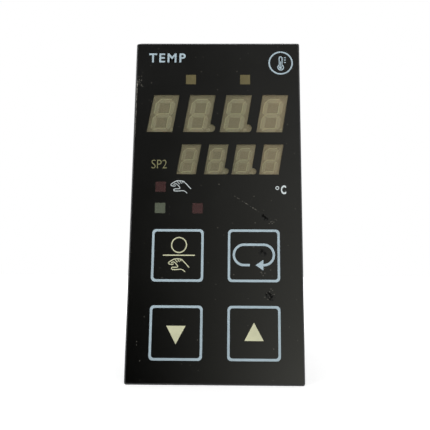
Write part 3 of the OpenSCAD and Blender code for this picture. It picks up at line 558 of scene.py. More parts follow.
def ink(name, colour):
    """Screen printed ink: darker and duller where grime sits on it."""
    finish = Finish(name, specular_ior_level=0.4)
    grime = finish.band(finish.noise(3.5, 4), 0.35, 0.75)
    finish.set(
        base_color=finish.mix(finish.times(grime, 0.3), colour, toned(colour, 0.62)),
        roughness=finish.linear(grime, 0.15, 0.42),
        normal=finish.bump(finish.noise(0.2, 2), 0.002),
    )


ink("print_blue", shade(159, 177, 186))
ink("print_cream", shade(197, 197, 164))
ink("print_white", shade(196, 205, 206))
ink("print_olive", shade(120, 118, 82))
print("inks:", [name for name in finishes if name.startswith("print")])

# %% [markdown]
# ## Digits and lamps
# A digit is a grey plastic block whose bars are wells filled with cloudy resin. Both sit behind
# the film, so they look duller than they are. The resin has a little light scattered in it,
# which a small subsurface share gives, and the grey paint of the face is slightly mottled. The
# small digits of the lower row have thinner resin, so more of the grey below shows through.

# %% Finishes of digits and lamps


DIGIT_GREY = shade(155, 147, 116)
BETWEEN_ROWS = 21.7  # Z in mm, over all bars of the lower row and under those of the upper


def cloudy(name, colour, rough=0.35, inner=0.25, thin=0.0):
    """Cast resin: light scatters a little below its surface. In the lower row of digits, a
    share of the grey below shows through where it is thin."""
    finish = Finish(name, subsurface_weight=inner, subsurface_scale=0.6 * MM)
    cloud = finish.noise(1.6, 3)
    tone = finish.mix(cloud, toned(colour, 0.86), toned(colour, 1.12))
    if thin:
        lower_row = finish.band(finish.axis("Z"), BETWEEN_ROWS + 0.1, BETWEEN_ROWS - 0.1)
        tone = finish.mix(finish.times(lower_row, thin), tone, DIGIT_GREY)
    finish.set(base_color=tone, roughness=finish.linear(cloud, 0.12, rough))


cloudy("reflector_grey", DIGIT_GREY, rough=0.6, inner=0.05)
cloudy("segment_resin", shade(193, 186, 151), rough=0.4, thin=0.45)
# painted highlight colour for the rims along the bars' upper and left edges
cloudy("resin_rim_highlight", shade(230, 224, 176), rough=0.3, thin=0.2)
cloudy("lamp_yellow", shade(150, 134, 86))
cloudy("lamp_red", shade(98, 44, 44))
cloudy("lamp_green", shade(120, 132, 104))
print("resins:", len(finishes), "finishes so far")

# %% [markdown]
# ## Metals
# Screws and clamps are nickel plated, contacts are brass, the fuse clips and the crystal's can
# are tinned. Metal takes nearly all its look from what it mirrors, so its finish is mostly
# roughness: brushed streaks along one axis, a dull bloom where it was handled, and painted shade
# in slots and corners, which the ambient occlusion node finds.

# %% Metal finishes


def metal(name, colour, tarnish, rough=0.28, streak=(6, 6, 0.08)):
    """Plated metal with fine streaks: the sizes of a streak are given along X, Y and Z."""
    finish = Finish(name, metallic=1.0)
    lines = finish.noise(1, 3, finish.stretched(0, streak))
    bloom = finish.band(finish.noise(2.2, 5), 0.4, 0.75)
    # painted shade: darker in slots and corners, where ambient occlusion finds little open space
    hollow_shade = finish.band(finish.hollows(0.9), 0.75, 0.3)
    plated = finish.mix(finish.times(bloom, 0.55), colour, tarnish)
    brushed = finish.linear(lines, 0.12, rough - 0.06)
    finish.set(
        base_color=finish.mix(hollow_shade, plated, toned(tarnish, 0.25)),
        roughness=finish.linear(bloom, 0.22, brushed),
        normal=finish.bump(lines, 0.004, finish.rounded(0.12)),
    )


metal("screw_steel", shade(176, 175, 168), shade(118, 113, 102))
metal("contact_brass", shade(206, 172, 104), shade(142, 108, 60), rough=0.24)
metal("can_steel", shade(204, 206, 208), shade(160, 162, 164), rough=0.2)
metal("sink_aluminium", shade(150, 153, 157), shade(108, 111, 114), rough=0.45, streak=(8, 0.12, 0.12))
metal("solder", shade(196, 198, 200), shade(150, 150, 148), rough=0.25, streak=(1, 1, 1))
metal("pad_gold", shade(214, 176, 98), shade(170, 128, 66), rough=0.22, streak=(0.1, 4, 4))
print("with the metals there are", len(finishes), "finishes")

# %% [markdown]
# ## Boards and their parts
# Circuit boards are glass cloth under green lacquer. The cloth's weave shows faintly through
# it as a fine grid, here two crossed waves. Moulded packages are nearly black with a dull,
# slightly rough face. The transformer's core is a stack of thin sheets, drawn as fine lines
# along the stack, and its winding is wrapped in tape whose turns overlap.

# %% Finishes of the boards' parts


def board_lacquer():
    """Green lacquer over glass cloth, whose weave is two crossed waves multiplied."""
    finish = Finish("board_green", specular_ior_level=0.4, coat_weight=0.15, coat_roughness=0.25)
    waves = [finish.add("TexWave", finish.mm, bands_direction=way, scale=0.55) for way in "YZ"]
    weave = finish.times(*[wave.outputs["Fac"] for wave in waves])
    cloud = finish.noise(11, 3)
    green = finish.mix(cloud, shade(22, 74, 44), shade(34, 96, 58))
    finish.set(base_color=finish.mix(finish.times(weave, 0.25), green, shade(66, 118, 74)),
               roughness=finish.linear(cloud, 0.12, 0.3),
               normal=finish.bump(weave, 0.01, finish.rounded(0.1)))


def iron_stack():
    """Lacquered sheets 0.5 mm thick, stacked along Y, with rust where the lacquer is thin."""
    finish = Finish("core_iron", metallic=0.55)
    sheets = finish.add("TexWave", finish.mm, bands_direction="Y", scale=0.64, distortion=0.4,
                        detail=2).outputs["Fac"]
    rust = finish.band(finish.noise(2.6, 5), 0.52, 0.72)
    tone = finish.mix(sheets, shade(58, 60, 64), shade(112, 114, 118))
    finish.set(base_color=finish.mix(finish.times(rust, 0.7), tone, shade(104, 66, 44)),
               roughness=finish.linear(rust, 0.3, 0.4),
               normal=finish.bump(sheets, 0.06, finish.rounded(0.2)))


def coil_wrap():
    """Yellow polyester tape wound round the coil: the edge of each turn is a fine step."""
    finish = Finish("coil_tape", specular_ior_level=0.5, subsurface_weight=0.1,
                    subsurface_scale=0.5 * MM)
    turns = finish.add("TexWave", finish.mm, bands_direction="X", wave_profile="SAW", scale=0.035,
                       distortion=0.8, detail=2, detail_scale=0.2).outputs["Fac"]
    crease = finish.noise(1.4, 4)
    tone = finish.mix(turns, shade(188, 132, 44), shade(226, 178, 84))
    finish.set(base_color=finish.mix(finish.times(crease, 0.3), tone, shade(150, 96, 30)),
               roughness=finish.linear(crease, 0.2, 0.3),
               normal=finish.bump(finish.math("ADD", turns, crease), 0.08, finish.rounded(0.3)))


def capacitor_sleeve():
    """Blue sleeve with a pale stripe down one side, and bare aluminium on the end."""
    finish = Finish("capacitor_blue")
    low, high = box_mm("filter_capacitors")
    x = finish.axis("X")
    end = finish.band(x, low[0] + 0.62, low[0] + 0.5)
    z = finish.axis("Z")
    stripe = finish.band(z, high[2] - 1.3, high[2] - 1.1)
    dashes = finish.band(finish.add("TexWave", finish.mm, bands_direction="X", scale=0.09)
                         .outputs["Fac"], 0.55, 0.7)
    blue = finish.mix(finish.noise(4, 2), shade(20, 38, 92), shade(30, 52, 116))
    marked = finish.mix(stripe, blue, finish.mix(dashes, shade(196, 204, 214), shade(28, 44, 98)))
    finish.set(base_color=finish.mix(end, marked, shade(196, 198, 200)), metallic=end,
               roughness=0.3, normal=finish.bump(finish.noise(0.8, 3), 0.02, finish.rounded(0.25)))


def fuse_tube():
    """Clear glass in the middle and nickel caps on both ends, told apart along Y."""
    finish = Finish("fuse_glass", roughness=0.08, specular_ior_level=0.6)
    low, high = box_mm("mains_fuse")
    cap_length = 5
    reach = (high[1] - low[1]) / 2 - cap_length
    away = finish.math("ABSOLUTE", finish.math("SUBTRACT", finish.axis("Y"), (low[1] + high[1]) / 2))
    cap = finish.math("GREATER_THAN", away, reach)
    finish.set(base_color=finish.mix(cap, shade(214, 222, 218), shade(206, 206, 200)), metallic=cap,
               alpha=finish.linear(cap, 0.75, 0.25))


def ringed():
    """Blue or tan resistor lacquer with four painted rings, chosen by the two attributes."""
    finish = Finish("resistor_paint", roughness=0.3, coat_weight=0.4)
    along = finish.add("Attribute", attribute_name="along").outputs["Fac"]
    which = finish.add("Attribute", attribute_name="which").outputs["Fac"]
    blue = finish.math("GREATER_THAN", which, 0.3)
    colour = finish.mix(blue, shade(196, 164, 112), shade(84, 138, 158))
    paints = [shade(110, 62, 34), shade(26, 24, 24), shade(196, 46, 34), shade(200, 160, 72)]
    for place, paint in zip((0.24, 0.40, 0.56, 0.74), paints):  # shares of the length
        away = finish.math("ABSOLUTE", finish.math("SUBTRACT", along, place))
        colour = finish.mix(finish.math("LESS_THAN", away, 0.035), colour, paint)
    finish.set(base_color=colour)


def plain_part(name, colour, rough=0.42, radius=0.15):
    """A small moulded or dipped part, whose edges are rubbed lighter than its own colour."""
    moulded(name, colour, toned(colour, 1.6), grain=0.12, relief=0.006, rough=rough, radius=radius)


board_lacquer()
iron_stack()
coil_wrap()
capacitor_sleeve()
fuse_tube()
ringed()
plain_part("track_green", shade(56, 124, 74), rough=0.3, radius=0.05)
plain_part("disc_tan", shade(190, 130, 66), rough=0.4, radius=0.1)
plain_part("disc_blue", shade(40, 78, 138), rough=0.35, radius=0.1)
moulded("gasket_rubber", shade(24, 24, 25), shade(72, 72, 70), grain=0.5, relief=0.03, rough=0.78,
        radius=0.25, wear=0.6)
PLAIN = {
    "part_black": (26, 27, 29), "chip_black": (30, 31, 33), "chip_ceramic": (98, 78, 66),
    "opto_white": (222, 219, 208), "relay_orange": (214, 122, 46), "switch_black": (32, 33, 35),
    "stem_white": (214, 210, 196), "plunger_white": (208, 206, 198),
}
for name, colour in PLAIN.items():
    plain_part(name, shade(*colour))
print("finishes:", len(finishes))

# %% [markdown]
# ## Dressing the CAD parts
# The record says which material slot each node has. A CAD node keeps its mesh and its place,
# and only the material in its slot is changed.

# %% Give each node its finish
subparts = frame["record"]["subparts"]
for subpart in subparts:
    node = frame["nodes"][subpart["node"]]
    node.data.materials.clear()
    node.data.materials.append(finishes[subpart["material_slot"]].material)
print("dressed", len(subparts), "nodes")

# %% [markdown]
# ## Adding pieces
# A new piece is a few arrays of points, in millimetres, and of faces that count into them.
# Most of them lie on a flat face of the part, so they are made in that face's own directions
# first, right, up and out, and then laid on it. A part that repeats is one shape added to many
# places at once: numpy adds every place to every point, with no loop over points.

# %% Piece helpers


class Face:
    """A flat face of the part: a point on it, and which ways are right and up on it. Looking
    at the face from outside, right x up is the way out."""

    def __init__(self, origin, right, up=(0, 0, 1)):
        self.origin = np.array(origin, float)
        self.axes = np.array([right, up, np.cross(right, up)], float)

    def lay(self, shape):
        """A shape's points turned to the part's directions and moved to this face."""
        points, faces = shape
        return self.origin + points @ self.axes, faces

    def find(self, places):
        """Places in the part's frame, as right and up on this face."""
        return (np.atleast_2d(places) - self.origin) @ self.axes[:2].T


def add_piece(name, shape, material, body="module", smooth=None):
    """Makes a piece from points in millimetres and faces, for a material slot and on a body. With
    an angle in degrees as smooth, edges flatter than that are shaded smooth."""
    points, faces = shape
    mesh = bpy.data.meshes.new(name)
    mesh.from_pydata((np.asarray(points) * MM).tolist(), [], [list(f) for f in faces])
    if smooth:
        mesh.shade_smooth()
        mesh.set_sharp_from_angle(angle=math.radians(smooth))
    mesh.materials.append(finishes[material].material)
    piece = bpy.data.objects.new(name, mesh)
    bpy.context.scene.collection.objects.link(piece)
    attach(piece, body)
    return piece


def grid_faces(rows, columns):
    """Quads between neighbours on a grid of points, the last column joined to the first."""
    i, j = np.meshgrid(np.arange(rows - 1), np.arange(columns), indexing="ij")
    k = (j + 1) % columns
    quads = np.stack([i * columns + j, (i + 1) * columns + j, (i + 1) * columns + k,
                      i * columns + k], axis=-1)
    return quads.reshape(-1, 4).tolist()


def joined(shapes):
    """Several shapes as one: the faces of each count on from the points of the last."""
    starts = np.cumsum([0] + [len(points) for points, _ in shapes])
    faces = [[i + start for i in face] for (_, some), start in zip(shapes, starts) for face in some]
    return np.vstack([points for points, _ in shapes]), faces


def repeated(shape, places):
    """One shape at many places."""
    points, faces = shape
    places = np.atleast_2d(places)
    if places.shape[1] == 2:
        places = np.insert(places, 2, 0, axis=1)
    spread = (points[None] + places[:, None]).reshape(-1, 3)
    return spread, [[i + n * len(points) for i in face] for n in range(len(places)) for face in faces]


# four corners below, anticlockwise, and the same four above them
BOX_FACES = [[3, 2, 1, 0], [4, 5, 6, 7], [0, 1, 5, 4], [1, 2, 6, 5], [2, 3, 7, 6], [3, 0, 4, 7]]


def block(size, lift=0.0):
    """A box that stands on the face, centred at 0: width, depth and height."""
    corners = np.array([(-1, -1), (1, -1), (1, 1), (-1, 1)]) * size[:2] / 2
    points = np.vstack([np.insert(corners, 2, h, axis=1) for h in (lift, lift + size[2])])
    return points, BOX_FACES


def turned(profile, sides=16):
    """A shape turned about the way out: each radius and height of the profile becomes a ring."""
    angle = np.linspace(0, 2 * np.pi, sides, endpoint=False)
    circle = np.stack([np.cos(angle), -np.sin(angle)], axis=1)  # clockwise: faces look outwards
    rings = [np.insert(circle * radius, 2, height, axis=1) for radius, height in profile]
    last = sides * (len(profile) - 1)
    caps = [list(range(sides)), list(range(last + sides - 1, last - 1, -1))]
    return np.vstack(rings), grid_faces(len(profile), sides) + caps


def smooth_path(points):
    """Catmull-Rom curve: between two points, a cubic whose slopes come from their neighbours,
    cut into 8 steps."""
    p = np.asarray(points, float)
    p = np.vstack([2 * p[0] - p[1], p, 2 * p[-1] - p[-2]])
    t = np.linspace(0, 1, 8, endpoint=False)[:, None, None]
    a, b, c, d = p[:-3], p[1:-2], p[2:-1], p[3:]
    curve = 0.5 * (2 * b + (c - a) * t + (2 * a - 5 * b + 4 * c - d) * t**2
                   + (3 * b - a - 3 * c + d) * t**3)
    return np.vstack([curve.transpose(1, 0, 2).reshape(-1, p.shape[1]), p[-2]])


def stroke(path, width, high=0.02, low=-0.05):
    """A line of even width with round ends, from a low to a high height. At arc length s the half
    width is that of a pen with a round tip: w/2 times the root of 1 - (1 - s/(w/2)) squared near
    an end, and w/2 elsewhere."""
    path = np.asarray(path, float)
    s = np.concatenate([[0], np.cumsum(np.linalg.norm(np.diff(path, axis=0), axis=1))])
    tip = np.array([0.05, 0.3, 0.65, 1.0]) * width / 2
    at = np.unique(np.concatenate([s, tip, s[-1] - tip]).clip(0, s[-1]))
    path = np.stack([np.interp(at, s, path[:, 0]), np.interp(at, s, path[:, 1])], axis=1)
    along = np.gradient(path, at, axis=0)
    along /= np.linalg.norm(along, axis=1)[:, None]
    side = np.stack([-along[:, 1], along[:, 0]], axis=1)
    near = np.clip(np.minimum(at, at[-1] - at) / (width / 2), 0.01, 1)
    half = width / 2 * np.sqrt(1 - (1 - near) ** 2)[:, None]
    left, right = path + side * half, path - side * half
    ring = [np.insert(edge, 2, h, axis=1) for edge, h in
            ((left, low), (left, high), (right, high), (right, low))]
    points = np.stack(ring, axis=1).reshape(-1, 3)
    last = 4 * (len(path) - 1)
    caps = [[3, 2, 1, 0], [last, last + 1, last + 2, last + 3]]
    return points, [f[::-1] for f in grid_faces(len(path), 4)] + [c[::-1] for c in caps]


def arc(centre, radius, start, end, steps=24):
    """Points on a circle between two angles in degrees."""
    angle = np.radians(np.linspace(start, end, steps))
    return np.array(centre) + radius * np.stack([np.cos(angle), np.sin(angle)], axis=1)


FRONT = Face((0, FRONT_Y, 0), (1, 0, 0))
print("front face looks along", FRONT.axes[2])

# %% [markdown]
# ## The hand symbols
# Two small hands mean manual work: one beside its lamp, one on the key. Each is drawn with a
# pen of even width, so a symbol is a few strokes along smooth curves through chosen points.
# A curve object with a bevel would do too, but this keeps the ink's ends round and flat.

# %% Draw the hands
HAND = [
    # the back of the hand, from the fingertip over the knuckles to the wrist
    [(-2.95, 0.55), (-2.3, 1.05), (-1.75, 1.36), (-1.3, 1.6), (-0.6, 1.66), (0.1, 1.62),
     (0.72, 1.5), (1.05, 1.22), (1.75, 0.52), (2.9, -0.72)],
    # the underside of the first finger
    [(-2.95, 0.55), (-2.75, 0.25), (-2.2, 0.1), (-1.75, 0.1), (-1.45, 0.3)],
    # the thumb, the gap below it and the lower side of the wrist
    [(-2.15, 0.42), (-1.8, 0.72), (-1.4, 0.78), (-1.0, 0.5), (-0.5, 0.0), (-0.3, -0.38),
     (-0.42, -0.66), (-1.1, -0.68), (-1.75, -0.7), (-2.02, -0.95), (-1.85, -1.28),
     (-1.2, -1.33), (-0.4, -1.3), (0.5, -1.22), (1.1, -1.38), (1.85, -1.95)],
    # the folds between the fingers
    [(-1.15, 1.55), (-0.75, 1.05), (-0.35, 0.7)],
    [(-0.4, 1.6), (-0.1, 1.2), (0.2, 0.85)],
    [(0.25, 1.55), (0.5, 1.25), (0.7, 1.0)],
]
HAND_SCALE = 0.98


def draw_hand(name, centre, width, material):
    """The strokes round a centre. The folds, which have three points each, are a little thinner."""
    shape = joined([stroke(smooth_path(np.array(line) * HAND_SCALE + centre),
                           width * (0.8 if len(line) == 3 else 1)) for line in HAND])
    add_piece(name, FRONT.lay(shape), material)
    print(name, "has", len(shape[1]), "faces")


draw_hand("hand_at_lamp", (-10.0, 5.1), 0.2, "print_white")
draw_hand("hand_on_key", (-10.1, -16.65), 0.25, "print_cream")

# %% [markdown]
# ## Lettering
# The words are generic: TEMP for what the instrument controls, SP2 beside the second set
# point, and the unit of the display. Blender's text object gives the outlines. It is turned
# into a mesh first, then laid on a face by changing its points.

# %% Write on the film


def letters(text, centre, height, bold=0.0, spacing=1.0, narrow=1.0):
    """Text of a height in millimetres, centred at right and up on a face, 0.02 mm proud of it.
    Bold widens each line, and narrow is the share of the letters' width that is kept."""
    curve = bpy.data.curves.new("outline", "FONT")
    curve.body = text
    curve.align_x = "CENTER"
    curve.offset = bold
    curve.space_character = spacing
    curve.resolution_u = 5
    source = bpy.data.objects.new("outline", curve)
    bpy.context.scene.collection.objects.link(source)
    graph = bpy.context.evaluated_depsgraph_get()
    flat = bpy.data.meshes.new_from_object(source.evaluated_get(graph))
    points = np.zeros(len(flat.vertices) * 3)
    flat.vertices.foreach_get("co", points)
    points = points.reshape(-1, 3)[:, :2]
    faces = [list(p.vertices) for p in flat.polygons]
    bpy.data.objects.remove(source)
    bpy.data.meshes.remove(flat)
    low, high = points.min(0), points.max(0)
    points = (points - (low + high) / 2) * height / (high[1] - low[1]) * (narrow, 1) + centre
    return np.insert(points, 2, 0.02, axis=1), faces


def write(name, shape, material):
    """Prints a shape on the film."""
    add_piece(name, FRONT.lay(shape), material)


write("label_temp", letters("TEMP", (-14.85, 43.35), 2.8, bold=0.022, spacing=1.26),
      "print_blue")
write("label_sp2", letters("SP2", (-16.3, 11.5), 2.5, bold=-0.012, narrow=0.86),
      "print_olive")
write("unit_letter", letters("C", (18.87, 4.25), 2.5, bold=0.03, narrow=0.67),
      "print_white")
print("wrote TEMP, SP2 and C on the film")

# %% [markdown]
# ## Painted highlights on the rims of the bars
# A thin raised strip runs along the upper and left edges of every bar, in a lighter resin
# colour. Its lightness is a painted highlight: it stands in for light from the upper left that
# catches the rim, so only the edges that face that way get one. The outlines are read from the
# piece the CAD made: every edge where a triangle that looks to the front ends. The round decimal
# points show no rim, and their edges are far shorter than those of the bars, so they are left out.

# %% Draw the rims


def front_edges(node, shortest):
    """Ends in X and Z of the edges round a piece's front faces, those over a length in mm.
    An edge inside a face belongs to two of its triangles, one at its border to a single one.
    The ends run anticlockwise round their face, as its triangles do."""
    mesh = bpy.data.objects[node].data
    mesh.calc_loop_triangles()
    points = np.zeros(len(mesh.vertices) * 3)
    mesh.vertices.foreach_get("co", points)
    points = points.reshape(-1, 3) / MM
    corners = np.zeros(len(mesh.loop_triangles) * 3, dtype=int)
    mesh.loop_triangles.foreach_get("vertices", corners)
    corners = corners.reshape(-1, 3)
    depths = points[corners][:, :, 1]
    ahead = (np.ptp(depths, axis=1) < 0.001) & (depths[:, 0] < points[:, 1].min() + 0.001)
    places, same = np.unique(np.round(points, 3), axis=0, return_inverse=True)
    corners = same.reshape(-1)[corners[ahead]]
    edges = np.vstack([corners[:, [0, 1]], corners[:, [1, 2]], corners[:, [2, 0]]])
    _, one, count = np.unique(np.sort(edges, axis=1), axis=0, return_index=True, return_counts=True)
    ends = places[edges[one[count == 1]]][:, :, [0, 2]]
    return ends[np.linalg.norm(ends[:, 1] - ends[:, 0], axis=1) > shortest]


def facing(ends, way, least):
    """Those of the anticlockwise edges whose outer side looks a way in X and Z by a least share."""
    along = ends[:, 1] - ends[:, 0]
    out = along[:, ::-1] * (1, -1) / np.linalg.norm(along, axis=1)[:, None]
    return ends[out @ (np.array(way) / np.linalg.norm(way)) > least]


def strips(ends, width, high):
    """A flat strip of a width and height along each pair of ends, half a width longer there."""
    first, last = ends[:, 0], ends[:, 1]
    along = last - first
    along *= width / 2 / np.linalg.norm(along, axis=1)[:, None]
    side = along[:, ::-1] * (-1, 1)
    ring = np.stack([first - along - side, last + along - side,
                     last + along + side, first - along + side], axis=1)
    points = np.concatenate([np.insert(ring, 2, h, axis=2) for h in (-0.02, high)], axis=1)
    faces = np.array(BOX_FACES) + np.arange(len(ends))[:, None, None] * 8
    return points.reshape(-1, 3), faces.reshape(-1, 4).tolist()


bars = front_edges("segment_fillers", 0.3)
DIGITS = Face((0, box_mm("segment_fillers")[0][1], 0), (1, 0, 0))
# painted highlight: only the edges that face the upper left, where light falls, get a strip
lit_rims = facing(bars, (-1, 1), 0.2)
add_piece("resin_rims", DIGITS.lay(strips(lit_rims, 0.18, 0.04)), "resin_rim_highlight")
print(len(bars) // 6, "bars have", len(lit_rims), "edges with a rim")

# %% [markdown]
# ## Ring of the unit, and a small thermometer
# The degree ring and the thermometer in the upper right corner are closed strokes as well. The
# thermometer is a plain pictogram in a ring: a stem with a round top, a bulb, and three marks.

# %% Draw the ring and the thermometer


def thermometer(centre):
    """Ring, outline, bulb's filling, column and marks, each a line with its width. The outline
    leaves the bulb where its circle is as wide as the stem, at the arc sine of stem / bulb."""
    stem, bulb, top, low = 0.42, 0.82, 1.5, -1.35
    bend = math.degrees(math.asin(stem / bulb))
    outline = np.vstack([
        arc((0, top), stem, 0, 180, 12),
        arc((0, low), bulb, 90 + bend, 450 - bend, 28),
        [(stem, top)],
    ])
    lines = [(arc((0, 0), 3.35, 90, 450, 72), 0.42), (outline, 0.3),
             (arc((0, low), 0.24, 0, 350), 0.48), (np.array([(0, low + 0.2), (0, 0.5)]), 0.26)]
    lines += [(np.array([(0.95, h), (1.55, h)]), 0.26) for h in (0.2, 0.9, 1.6)]
    return joined([stroke(line + centre, width) for line, width in lines])


write("degree_ring", stroke(arc((17.12, 4.75), 0.42, 0, 358), 0.22), "print_white")
write("thermometer_sign", thermometer(np.array([18.45, 41.8])), "print_blue")
print("pictograms drawn")

# %% [markdown]
# ## The two side boards from outside
# Each side board carries its parts inside and is soldered outside. At the back edge twelve
# gilt pads meet the contact springs. The springs slide over the whole outer face when the
# module is drawn out, so nothing may stand proud there: the joints are flat domes a tenth of a
# millimetre high. Copper under the lacquer shows as lighter green lines that run straight and
# turn by 45 degrees, as tracks are drawn.

# %% Faces and pins of the boards
main_low, main_high = box_mm("main_board")
power_low, power_high = box_mm("power_board")
OUTSIDE = {"main_board": Face((main_low[0], 0, 0), (0, -1, 0)),
           "power_board": Face((power_high[0], 0, 0), (0, 1, 0))}
INSIDE = {"main_board": Face((main_high[0], 0, 0), (0, 1, 0)),
          "power_board": Face((power_low[0], 0, 0), (0, -1, 0))}


def middle(node):
    """The middle of a node's box, as Y and Z."""
    low, high = box_mm(node)
    return (low + high)[1:] / 2


def spaced(count, pitch):
    """Some places a pitch apart, whose middle is at 0."""
    return (np.arange(count) - (count - 1) / 2) * pitch


def pins(ys, zs):
    """Every pair of a place along Y and a place along Z."""
    return np.array([(y, z) for y in ys for z in zs], float)


def package(node, along, across):
    """Pins round a node's middle, from their places along Y and along Z."""
    y, z = middle(node)
    return pins(y + np.asarray(along), z + np.asarray(across))


def on(face, places):
    """Places given as Y and Z, as right and up on a board's face."""
    return face.find(np.insert(np.asarray(places, float), 0, face.origin[0], axis=1))


terminals = spaced(12, 7.0)
header_pins = pins([power_low[1] + 0.95], spaced(16, 2.5))
can_low, can_high = box_mm("filter_capacitors")
can_radius = 5
LEAD_PITCH = 2.54
PINS = {
    "main_board": np.vstack([
        header_pins,
        package("eprom_socket", spaced(14, LEAD_PITCH), spaced(2, 14)),
        package("crystal", [0], spaced(2, 4.88)),
        pins(middle("optocouplers")[0] + spaced(2, 6.4),
             (spaced(5, 14)[:, None] + spaced(3, LEAD_PITCH)).ravel()),
    ]),
    "power_board": np.vstack([
        header_pins,
        package("transformer_core", spaced(2, 16), spaced(4, 5)),
        package("relay_1", spaced(2, 14), spaced(2, 5)),
        package("relay_2", spaced(2, 14), spaced(2, 5)),
        pins(np.linspace(can_low[1] + can_radius, can_high[1] - can_radius, 3),
             (can_low[2] + can_high[2]) / 2 + spaced(2, 5)),
        package("mains_fuse", spaced(2, 15), spaced(2, 3.6)),
        package("heat_sink", [-4], spaced(3, LEAD_PITCH)),
        pins([12, 20, 28], [-30, -22, 24, 32]),
    ]),
}
print("pins:", {name: len(places) for name, places in PINS.items()})

# %% Tracks, joints and pads


def track(start, end, bend):
    """From start straight along Y to the bend, at 45 degrees to the end's line, then straight."""
    shift = abs(end[1] - start[1]) * np.sign(end[0] - start[0])
    return np.array([start, (bend, start[1]), (bend + shift, end[1]), end])


def row(y, first, step, count):
    """Places at one Y, counted up along Z from the first by a step."""
    return pins([y], first + np.arange(count) * step)


pads = pins([97.4], terminals)
# two pins for each place along Y, the lower row's and the upper row's
eprom_pins = PINS["main_board"][len(header_pins):][:28]
# starts, ends, the Y of the bends, and the width of the tracks
RUNS = {
    "main_board": [
        (header_pins[:6], row(31, -41, 1.5, 6), 6, 0.6),
        (header_pins[6:12], row(34, -8, 2, 6), 8, 0.6),
        (header_pins[12:], row(66, 33, 2, 4), 10, 0.9),
        (eprom_pins[1:9:2], row(76, 12.4, -1.6, 4), 74, 0.5),
        (pads[:2], row(36, -39, 3, 2), 84, 1.2),
        (pads[2:10], row(90, -22, 6.3, 8), 95, 0.9),
        (pads[10:], row(68, 37, 3, 2), 84, 1.2),
    ],
    "power_board": [
        (header_pins[:8], row(28, -38, 2, 8), 4, 0.8),
        (header_pins[8:], row(34, 16, 2, 8), 7, 0.8),
        (pads[:3], row(66, -38, 5, 3), 93, 2.6),
        (pads[3:6], pins([91], [-22, -10, -5]), 94, 2.0),
        (pads[6:9], pins([86], [6, 14.5, 19.5]), 92, 1.4),
        (pads[9:], pins([70], [33, 37, 40]), 90, 2.6),
    ],
}
# straight tracks: two ends, and the width
STRAIGHT = {
    "main_board": [([(y, -25), (y, -11)], 0.5) for y in eprom_pins[2::6, 0]],
    "power_board": [([(36, -16.5), (68, -16.5)], 3.4), ([(36, -11.5), (68, -11.5)], 3.4),
                    ([(42, 12), (66, 12)], 2.4)],
}


def tracks(board):
    """All tracks of a board's outer face, as one shape."""
    lines = [(track(a, b, bend), width) for starts, ends, bend, width in RUNS[board]
             for a, b in zip(starts, ends)]
    return joined([stroke(on(OUTSIDE[board], line), width, high=0.03)
                   for line, width in lines + STRAIGHT[board]])


joint = turned([(0.95, -0.02), (0.95, 0.02), (0.72, 0.06), (0.4, 0.09), (0.15, 0.1)], 14)
pad = block((8, 3, 0.05), lift=-0.02)
pads_at = pins([101.2], terminals)
for name, face in OUTSIDE.items():
    copper = add_piece(name + "_tracks", face.lay(tracks(name)), "track_green")
    add_piece(name + "_joints", face.lay(repeated(joint, on(face, PINS[name]))), "solder",
              smooth=60)
    add_piece(name + "_pads", face.lay(repeated(pad, on(face, pads_at))), "pad_gold")
    print(name, "has", len(copper.data.polygons), "faces of tracks")

# %% [markdown]
# ## Small parts inside
# Resistors lie on bent legs. A resistor's body is a profile turned about its own axis, and it
# swells at both ends. Its rings of paint tell its value, so each point of the body carries how
# far along it lies and which resistor it belongs to, and the material picks the colours from
# these two numbers. Discs and small chips are simple forms, set out in many places at once.

# %% Resistors, discs and chips


def lying(profile, sides=12):
    """A turned shape laid down along right, with 0.3 mm of air below its widest ring."""
    points, faces = turned(profile, sides)
    radius = max(r for r, _ in profile)
    centre = (profile[-1][1] + profile[0][1]) / 2
    return np.stack([points[:, 2] - centre, points[:, 1], radius + 0.3 - points[:, 0]], axis=1), faces


def leg(path, thick=0.6):
    """A square wire along a path in right and out, at up 0."""
    points, faces = stroke(path, thick, thick / 2, -thick / 2)
    return points[:, [0, 2, 1]], [f[::-1] for f in faces]


swell = [(0.3, 0), (0.95, 0.15), (1.15, 0.6), (1.15, 1.3), (0.95, 1.8), (0.95, 4.6), (1.15, 5.1),
         (1.15, 5.8), (0.95, 6.25), (0.3, 6.4)]
resistor = lying(swell)
leg_path = np.array([(5.0, -0.05), (5.0, 1.3), (4.8, 1.45), (3.0, 1.45)])
legs = joined([leg(leg_path * (way, 1)) for way in (-1, 1)])
RESISTORS = {
    "main_board": pins((9.5, 22.0), (-34, -30, -26, -22, -6, -2, 2, 6, 26, 30, 34)),
    "power_board": pins((10.5, 22.5), (-26, -21, -8, -3, 20, 26)),
}
chip_body = block((5.0, 4.0, 1.5), lift=0.15)
chip_legs = joined([repeated(block((0.45, 1.1, 0.5)), [(x, side) for x in spaced(4, LEAD_PITCH / 2)])
                    for side in (-2.4, 2.4)])
CHIPS = {
    "main_board": np.vstack([[(31.0, 36.0), (42.0, 36.5), (53.0, 36.5)], row(80, -30, 14, 5)]),
    "power_board": pins([31], [4, -12]),
}

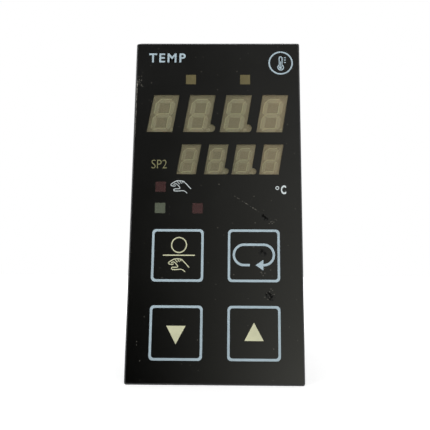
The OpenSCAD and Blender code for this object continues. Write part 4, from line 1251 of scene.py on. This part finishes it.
for name, face in INSIDE.items():
    at = on(face, RESISTORS[name])
    bodies = add_piece(name + "_resistors", face.lay(repeated(resistor, at)), "resistor_paint",
                       smooth=50)
    along = np.tile(resistor[0][:, 0] / swell[-1][1] + 0.5, len(at))
    which = np.repeat(np.arange(len(at)), len(resistor[0])) * 0.37 % 1  # scattered from 0 to 1
    for attribute, values in (("along", along), ("which", which)):
        bodies.data.attributes.new(attribute, "FLOAT", "POINT").data.foreach_set("value", values)
    add_piece(name + "_legs", face.lay(repeated(legs, at)), "solder")
    spots = on(face, CHIPS[name])
    add_piece(name + "_chips", face.lay(repeated(chip_body, spots)), "chip_black")
    add_piece(name + "_chip_legs", face.lay(repeated(chip_legs, spots)), "solder")
print("resistors:", {name: len(places) for name, places in RESISTORS.items()})

# %% Discs and the header's pins
varistor = lying([(0.6, -0.1), (2.4, 0.2), (3.2, 0.9), (3.4, 1.5), (3.2, 2.1), (2.4, 2.8),
                  (0.6, 3.1)], 20)
face = INSIDE["power_board"]
add_piece("varistor", face.lay(repeated(varistor, on(face, [(30.0, -33.0)]))), "disc_blue",
          smooth=50)
small_disc = lying([(0.4, 0), (1.5, 0.2), (2.0, 0.7), (2.0, 1.2), (1.5, 1.7), (0.4, 1.9)], 18)
DISCS = {"main_board": [(66.5, 20.5), (66.5, 28.5), (74.0, 36.0), (33.5, 22.0), (33.5, 8.0)],
         "power_board": [(34.0, -14.0), (58.0, -3.0), (46.0, -3.0)]}
for name, face in INSIDE.items():
    add_piece(name + "_discs", face.lay(repeated(small_disc, on(face, DISCS[name]))), "disc_tan",
              smooth=50)
pin_path = np.array([(0.0, -1.3), (0.0, 1.4), (0.25, 1.65), (1.25, 1.65)])
for name, side in (("main_header", -1), ("power_header", 1)):
    low, high = box_mm(name)
    face = Face(((low[0] + high[0]) / 2, high[1], 0), (side, 0, 0), (0, 0, side))
    shape = repeated(leg(pin_path, 0.5), [(0, side * z) for z in header_pins[:, 1]])
    add_piece(name + "_pins", face.lay(shape), "solder")
print("header pins:", len(header_pins), "on each side")

# %% [markdown]
# ## Numbers of the terminals
# A wireman reads the numbers beside the screws. They stand on the strip between the two
# columns, 1 to 12 on one side and 13 to 24 on the other, printed in pale ink.

# %% Number the terminals
floor_y = box_mm("wire_clamps")[0][1] - 0.6
REAR = Face((0, floor_y, 0), (-1, 0, 0))
numbers = [letters(str(first + i), (side, z), 1.7, narrow=0.8)
           for first, side in ((1, -4.15), (13, 4.15)) for i, z in enumerate(terminals[::-1])]
add_piece("terminal_numbers", REAR.lay(joined(numbers)), "print_white", body="case")
print("numbered", len(numbers), "terminals at y", round(float(floor_y), 2))

# %% Compare the two boxes and finish
visual_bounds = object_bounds()
grown = np.array(visual_bounds) - np.array(cad_bounds)
print("grown by", grown.round(5).tolist())
